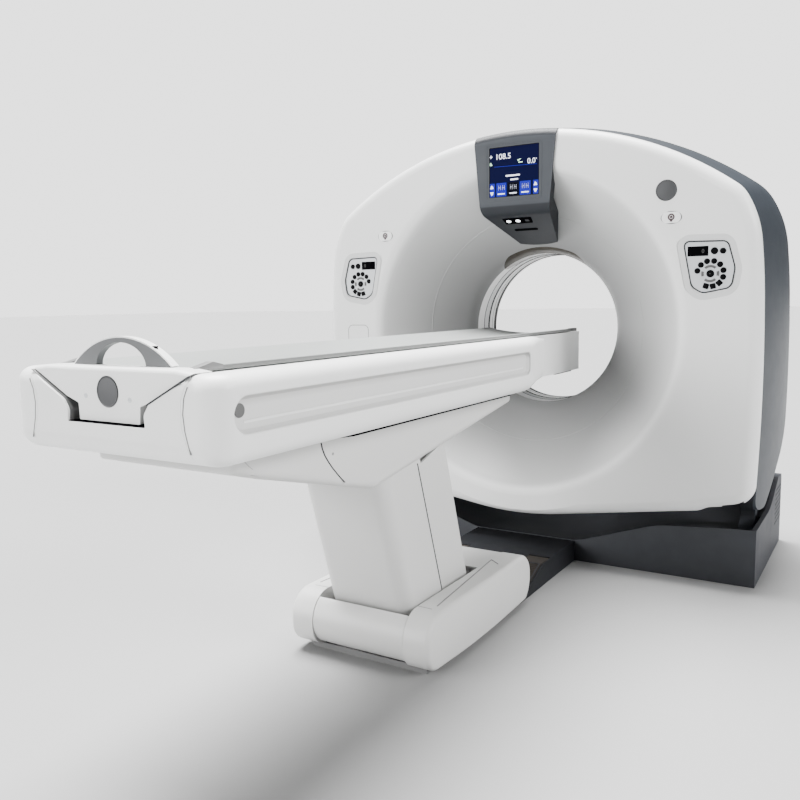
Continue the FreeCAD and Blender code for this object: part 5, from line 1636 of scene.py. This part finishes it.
# ---------------------------------------------------------------------------
# Table
# ---------------------------------------------------------------------------
@dataclass
class TableTrim:
    """Foot end's painted shade in its V and its seams, channels, and the lines and painted gap
    shadow of the saddle covers.
    """

    bench: Bench
    notch: tuple[Corner, ...] = ((254.0, 1029.0), (138.0, 967.0, 26.0), (122.0, 944.0, 16.0),
                                 (125.0, 917.5, 4.0))
    notch_top: float = 1026.0
    # The backing, lining and sill paint the shadow inside the foot cover's V.
    backing_levels: Point = (-2572.0, -2570.4)
    lining_width: float = 1.6
    lining_levels: Point = (-2634.0, -2571.0)
    sill: Edges = (-123.0, 917.6, 123.0, 919.4)
    sill_levels: Point = (-2639.0, -2572.0)
    # A dark line of painted shadow along the V's right-hand diagonal.
    crease: tuple[Point, ...] = ((131.0, 967.0), (258.0, 1031.0))
    crease_width: Point = (3.5, -2.5)
    crease_levels: Point = (-2640.8, -2637.0)
    foot_seam: tuple[Point, ...] = ((251.0, 1008.0), (240.0, 985.0), (235.0, 952.0),
                                    (239.0, 918.0), (248.0, 886.0), (252.0, 872.0))
    foot_seam_width: Point = (2.6, 0.0)
    foot_seam_levels: Point = (-2640.5, -2638.5)
    channel_x: float = 319.0
    cap_at: Place = (320.6, -2568.0, 957.0)
    cap_profile: tuple[Point, ...] = ((-3.0, 14.8), (1.2, 14.8), (2.0, 13.6), (1.6, 12.0),
                                      (1.4, 0.0))
    ledge: Edges = (-2556.0, 929.0, -1120.0, 935.0)
    saddle_x: float = 230.0
    # A black slab of painted shadow in the gap between the table cover and the saddle.
    gap: tuple[Point, ...] = ((-2170.0, 829.0), (-2040.0, 819.0), (-1030.0, 820.0),
                              (-1030.0, 829.0))
    seam: tuple[Point, ...] = ((-2186.3, 829.0), (-2180.6, 808.0), (-2171.0, 789.0),
                               (-2158.5, 773.0), (-2141.0, 753.0), (-2121.2, 733.7),
                               (-2104.0, 718.0), (-2087.2, 704.0))
    fine_seam: tuple[Point, ...] = ((-2464.0, 827.0), (-2448.0, 812.0), (-2436.0, 803.0))
    dimple_at: Point = (-2133.7, 787.9)
    dimple_profile: tuple[Point, ...] = ((-1.0, 4.0), (0.5, 4.0), (0.6, 3.0), (0.2, 0.0))

    def build(self) -> None:
        """Build the table's fine parts."""
        self.foot()
        self.foot_lines()
        self.channels()
        self.saddle()

    def foot(self) -> None:
        """Painted shadow in the open V of the foot cover: a black backing, a grey lining on its
        walls and a black sill.
        """
        bench = self.bench
        left = [(-x, z, *radius) for x, z, *radius in reversed(self.notch)]
        opening = [*self.notch, *left]
        # Black backing, grey wall lining and black sill are painted shadow in the V.
        bench.place(bench.slab(opening, *self.backing_levels), "foot_backing", BLACK, "table")
        lining = bench.border(opening, self.lining_width, *self.lining_levels)
        lid = [face for face in lining.faces
               if face.calc_center_median().z > self.notch_top]
        bmesh.ops.delete(lining, geom=lid, context="FACES")
        bench.place(lining, "foot_lining", PLUG_AND_SHADE, "table")
        sill = bench.slab(upright(*self.sill), *self.sill_levels)
        bench.place(sill, "foot_sill", PITCH, "table")

    def foot_lines(self) -> None:
        """A dark line of painted shadow along the V's right-hand diagonal, and a seam down each
        side of the foot cover.
        """
        bench = self.bench
        # Painted shadow along the diagonal gap of the V.
        crease = bench.line(self.crease, self.crease_width, *self.crease_levels)
        bench.place(crease, "foot_crease", GASKET_AND_SHADOW, "table")
        seam = bench.line(self.foot_seam, self.foot_seam_width, *self.foot_seam_levels)
        bench.place(bench.pair(seam), "foot_seams", STOP, "table")

    def channels(self) -> None:
        """End caps and a fine ledge in the long side channels."""
        bench = self.bench
        cap = bench.turned(self.cap_profile, self.cap_at, "X", steps=32)
        bench.place(bench.pair(cap), "channel_caps", PLUG_AND_SHADE, "table")
        ledge = bench.side(bench.slab(upright(*self.ledge), -1.6, 2.0, edge=1.2), self.channel_x)
        bench.place(bench.pair(ledge), "channel_ledges", WHITE, "table")

    def saddle(self) -> None:
        """Painted shadow in the gap over the saddle, its curved seams and a screw dimple, on both
        sides.
        """
        bench = self.bench
        # The black gap slab is painted shadow.
        lines = (("saddle_gap_edges", PITCH, bench.slab(self.gap, -0.5, 1.0)),
                 ("saddle_seams", SEAM, bench.line(self.seam, (5.5, 0.0), -0.5, 1.0)),
                 ("saddle_fine_seams", SOFT_SEAM_AND_SHADE,
                  bench.line(self.fine_seam, (2.0, 0.0), -0.4, 1.0)))
        for name, finish, line in lines:
            bench.place(bench.pair(bench.side(line, self.saddle_x)), name, finish, "table")
        dimple = bench.turned(self.dimple_profile, (self.saddle_x, *self.dimple_at), "X",
                              steps=20)
        bench.place(bench.pair(dimple), "saddle_dimples", SOFT_SEAM_AND_SHADE, "table")


@dataclass
class CradleTrim:
    """Handle and its shell, blank disc, end stops and edge strips of the moving cradle."""

    bench: Bench
    end_face: float = -2628.0
    half: float = 215.0
    bow_circle: Point = (871.0, 230.0)
    bow_opening: tuple[float, Point] = (1039.0, (80.0, 52.0))
    bow_foot: float = 1039.5
    bow_depth: Point = (-2590.0, -2572.5)
    shell_radius: float = 231.6
    shell_wall: float = 3.2
    shell_turn: Point = (47.6, 132.4)
    shell_levels: Point = (-2589.0, -2569.5)
    disc_z: float = 987.0
    disc_profile: tuple[Point, ...] = ((2.0, 34.5), (-0.8, 34.5), (-1.8, 33.4), (-1.8, 31.2),
                                       (-1.0, 30.2), (-1.4, 16.0), (-1.6, 0.0))
    dimples: tuple[Point, ...] = ((-73.0, 975.5), (68.5, 972.0))
    dimple_profile: tuple[Point, ...] = ((0.6, 5.5), (-0.5, 5.5), (-0.9, 4.6), (-0.2, 3.4),
                                         (-0.1, 0.0))
    strip: Edges = (-2570.0, 1032.5, -276.0, 1040.5)
    stop: tuple[Corner, ...] = ((-2586.0, 1038.5), (-2530.0, 1050.5, 2.0),
                                (-2500.0, 1043.0, 2.0), (-2500.0, 1034.0), (-2572.0, 1034.0))
    end_cap: Edges = (-345.0, 1029.0, -273.0, 1043.5)
    nose_plate: Edges = (-178.0, 846.0, 178.0, 860.0)
    nose_levels: Point = (-430.0, -232.0)

    def build(self) -> None:
        """Build the cradle's fine parts."""
        self.handle()
        self.end_block()
        self.edges()
        self.nose()

    def handle(self) -> None:
        """Grey handle with a wide round opening, and a white shell over it."""
        bench = self.bench
        bow = bmesh.new()
        middle, radius = self.bow_circle
        for z, (wide, tall) in ((middle, (radius, radius)), self.bow_opening):
            ring = bmesh.ops.create_circle(bow, segments=160, radius=1.0,
                                           matrix=Matrix.Rotation(math.pi / 2, 4, "X"))
            bmesh.ops.scale(bow, vec=(wide, 1.0, tall), verts=ring["verts"])
            bmesh.ops.translate(bow, vec=(0.0, 0.0, z), verts=ring["verts"])
        bmesh.ops.bisect_plane(bow, geom=bow.verts[:] + bow.edges[:], dist=TOUCH,
                               plane_co=(0.0, 0.0, self.bow_foot), plane_no=(0.0, 0.0, -1.0),
                               clear_outer=True)
        bmesh.ops.bridge_loops(bow, edges=bow.edges[:])
        bench.thicken(bow, *self.bow_depth)
        bench.place(bow, "handle_bow", HANDLE, "cradle", smooth=50.0,
                    stands_for=("cradle_handle",))
        shell = bench.arc((0.0, middle), self.shell_radius, self.shell_wall, self.shell_turn,
                          *self.shell_levels, steps=36)
        bench.place(shell, "handle_shell", WHITE, "cradle", smooth=60.0)

    def end_block(self) -> None:
        """Blank disc and two dimples on the end block."""
        bench, y = self.bench, self.end_face
        disc = bench.turned(self.disc_profile, (0.0, y, self.disc_z), steps=52)
        bench.place(disc, "end_disc", BADGE, "cradle")
        dimples = [bench.turned(self.dimple_profile, (x, y, z), steps=24)
                   for x, z in self.dimples]
        bench.place(bench.join(dimples), "end_dimples", BEZEL, "cradle")

    def edges(self) -> None:
        """Grey edge strip, end stop and end cap on both sides."""
        bench = self.bench
        parts = (("cradle_strips", STRIP, bench.slab(upright(*self.strip), -0.9, 1.0, edge=0.4)),
                 ("end_stops", STOP, bench.slab(self.stop, -3.0, 18.0, edge=0.8)),
                 ("cradle_end_caps", STOP,
                  bench.slab(upright(*self.end_cap, 1.0), -1.6, 14.0, edge=0.6)))
        for name, finish, part in parts:
            bench.place(bench.pair(bench.side(part, self.half)), name, finish, "cradle")

    def nose(self) -> None:
        """Dark plate under the nose."""
        under = self.bench.slab(upright(*self.nose_plate), *self.nose_levels, edge=1.5)
        self.bench.place(under, "nose_under", GASKET_AND_SHADOW, "nose")


@dataclass
class ArmShell:
    """Rounded channel cover of the front arm, and its joint lines.

    The channel is drawn upright, open at the back, with y along the arm and z behind it.
    """

    bench: Bench
    half: float = 160.0
    depth: float = 222.0
    length: float = 640.0
    start: float = -58.0
    spare: float = 100.0
    corner: float = 52.0
    wall: float = 8.0
    roll_cut: tuple[Place, Place] = ((0.0, 685.0, 90.0), (0.0, 132.0, 95.0))
    top_cut: tuple[Place, Place] = ((0.0, 655.0, 0.0), (0.0, 1.0, -1.0))
    joint: tuple[Point, ...] = ((-1594.6, 660.0), (-1460.0, 254.5), (-1441.0, 197.0))
    joint_width: Point = (6.0, 0.0)

    def to_arm(self, mesh: Mesh) -> Mesh:
        """Bring the upright channel to the leaning arm.

        Args:
            mesh: The channel, with y along the arm and z behind it.

        Returns:
            The same mesh, in the frame.
        """
        lean = math.radians(ARM_LEAN)
        turn = Matrix(((1, 0, 0), (0, -math.sin(lean), math.cos(lean)),
                       (0, math.cos(lean), math.sin(lean)))).to_4x4()
        origin = Matrix.Translation((0.0, *ARM_PIVOT))
        bmesh.ops.transform(mesh, matrix=origin @ turn, verts=mesh.verts[:])
        bmesh.ops.recalc_face_normals(mesh, faces=mesh.faces[:])
        return mesh

    def channel(self) -> Mesh:
        """Front and side walls as one sheet, cut away where the roll cover sits.

        Returns:
            The sheet, with its faces outwards.
        """
        bench, mesh = self.bench, bmesh.new()
        _, edges = bench.chain(mesh, [(x, self.start, z) for x, z in (
            (self.half, self.depth), (self.half, 0.0), (-self.half, 0.0),
            (-self.half, self.depth))])
        bench.draw_out(mesh, (0.0, self.length + self.spare, 0.0), edges)
        upright_edges = [e for e in mesh.edges if all(abs(v.co.z) < TOUCH for v in e.verts)
                         and abs(e.verts[0].co.x - e.verts[1].co.x) < TOUCH]
        bench.bevel(mesh, upright_edges, self.corner, segments=12, clamp=False)
        for place, away in (self.roll_cut, self.top_cut):
            bmesh.ops.bisect_plane(mesh, geom=mesh.verts[:] + mesh.edges[:] + mesh.faces[:],
                                   plane_co=place, plane_no=away, clear_outer=True)
        bmesh.ops.recalc_face_normals(mesh, faces=mesh.faces[:])
        front = min(mesh.faces, key=lambda face: face.calc_center_median().z)
        if front.normal.z > 0:
            bmesh.ops.reverse_faces(mesh, faces=mesh.faces[:])
        return mesh

    def build(self) -> None:
        """Build the shell and the long joint line on each side of it."""
        bench, mesh = self.bench, self.channel()
        bmesh.ops.solidify(mesh, geom=mesh.faces[:], thickness=self.wall)
        bench.place(self.to_arm(mesh), "front_arm_cover", SHADED_WHITE, "front_arm", smooth=60.0,
                    stands_for=("front_arm",))
        line = bench.side(bench.line(self.joint, self.joint_width, -0.5, 1.4), self.half)
        bench.place(bench.pair(line), "arm_seams", SEAM, "front_arm")


@dataclass
class BaseCovers:
    """Smooth side covers of the table's base, with the fine lines along their top."""

    bench: Bench
    inner: float = 176.0
    outer: float = 268.0
    ends: Point = (-1724.0, -915.0)
    levels: Point = (22.0, 206.0)
    radius: float = 91.9
    shoulder: float = 34.0
    sill_inset: float = 14.0
    rear_slope: Point = (40.0, 52.0)
    # The wing line is a grey line of painted shade along a raised ridge on the top.
    wing: tuple[Point, ...] = ((230.0, -1600.0), (181.0, -1092.0))
    wing_tip: tuple[Point, ...] = ((181.0, -1092.0), (226.0, -1128.0))
    step: tuple[Point, ...] = ((177.0, -1630.0), (230.0, -1632.0))

    def build(self) -> None:
        """Build both sides."""
        for side in Side:
            cover = self.bench.side(self.shell(), self.outer)
            if side is Side.LEFT:
                cover = self.bench.mirrored(cover)
            self.bench.place(cover, f"base_side_{side.word}", SHADED_WHITE, "stand", smooth=60.0,
                             stands_for=(f"base_cover_{side.word}",))
        self.top_lines()

    def top_lines(self) -> None:
        """A grey line of painted shade along the raised wing on the top, and the step across its
        front.
        """
        bench, height = self.bench, self.levels[1]
        # Painted shade: the grey wing line marks where the top turns to the slanted wing.
        wing = bench.join([bench.line(self.wing, (3.5, 0.0), -1.6, 1.0),
                           bench.line(self.wing_tip, (0.0, 4.0), -1.6, 1.0)])
        step = bench.line(self.step, (0.0, 2.5), -0.7, 1.0)
        for name, line in (("base_wings", wing), ("base_steps", step)):
            bench.place(bench.pair(bench.top(line, height)), name, SOFT_SEAM_AND_SHADE, "stand")

    def shell(self) -> Mesh:
        """One cover, rounded over towards its outer face and drawn in at the floor.

        Returns:
            The mesh, drawn in front view as (y, z) with its outer face at y = 0.
        """
        front, rear = self.ends
        low, high = self.levels
        run, rise = self.rear_slope
        outline = [(front, low, 74.0), (rear - run, low, 30.0), (rear, low + rise, 88.0),
                   (rear, high, 84.0), (front, high, self.radius)]
        mesh = self.bench.outline(outline, segments=14)
        self.bench.draw_out(mesh, (0.0, self.outer - self.inner, 0.0))
        bmesh.ops.recalc_face_normals(mesh, faces=mesh.faces[:])
        face = [e for e in mesh.edges if all(abs(v.co.y) < TOUCH for v in e.verts)]
        under = [e for e in face if all(abs(v.co.z - low) < 10 * TOUCH for v in e.verts)]
        sill = [v for e in under for v in e.verts]
        rim = [e for e in face if e not in under]
        self.bench.bevel(mesh, rim, self.shoulder, segments=7)
        bmesh.ops.translate(mesh, verts=[v for v in sill if v.is_valid],
                            vec=(0.0, self.sill_inset, 0.0))
        return mesh


@dataclass
class Pedals:
    """Rubber borders and grip bars on the two foot pedals."""

    bench: Bench
    middle: Place = (186.0, -774.0, 71.0)
    up: Place = (0.0, 116.0, 42.0)
    out: Place = (0.0, -42.0, 116.0)
    plate: Edges = (-42.0, -58.0, 42.0, 58.0)
    rim_width: float = 5.0
    bar_size: Point = (66.0, 4.0)
    bar_reach: int = 44
    bar_step: int = 11

    def build(self) -> None:
        """Build both pedals' parts on the sloping plates."""
        bench, (x, y, z) = self.bench, self.middle
        bar_levels = range(-self.bar_reach, self.bar_reach + 1, self.bar_step)
        for side in Side:
            rim = bench.border(upright(*self.plate, 6.0), self.rim_width, -2.4, 1.0)
            bars = bench.join([bench.rectangle((0.0, level), self.bar_size, -1.6, 1.0,
                                               radius=1.5, edge=0.6) for level in bar_levels])
            for name, finish, part in (("rim", GASKET_AND_SHADOW, rim), ("bars", PEDAL, bars)):
                bench.lay(part, (side.value * x, y, z), self.up, self.out)
                bench.place(part, f"pedal_{name}_{side.word}", finish, f"pedal_{side.word}")


@dataclass
class Scanner:
    """Everything that is dressed or added."""

    paintbox: Paintbox = field(default_factory=Paintbox)

    def build(self, frame: dict) -> None:
        """Dress the CAD nodes and add the fine pieces.

        Args:
            frame: The loaded frame.
        """
        for name, node in frame["nodes"].items():
            self.paintbox.dress(node, NODE_FINISHES[name])
        bench = Bench(self.paintbox)
        for group in (Display, Keypads, GantryTrim, TableTrim, CradleTrim, ArmShell, BaseCovers,
                      Pedals):
            group(bench).build()


def main() -> None:
    """Build the scene in order and note its size."""
    logging.basicConfig(level=logging.INFO, format="%(message)s")
    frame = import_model()
    Studio().build()
    Scanner().build(frame)


if __name__ == "__main__":
    main()
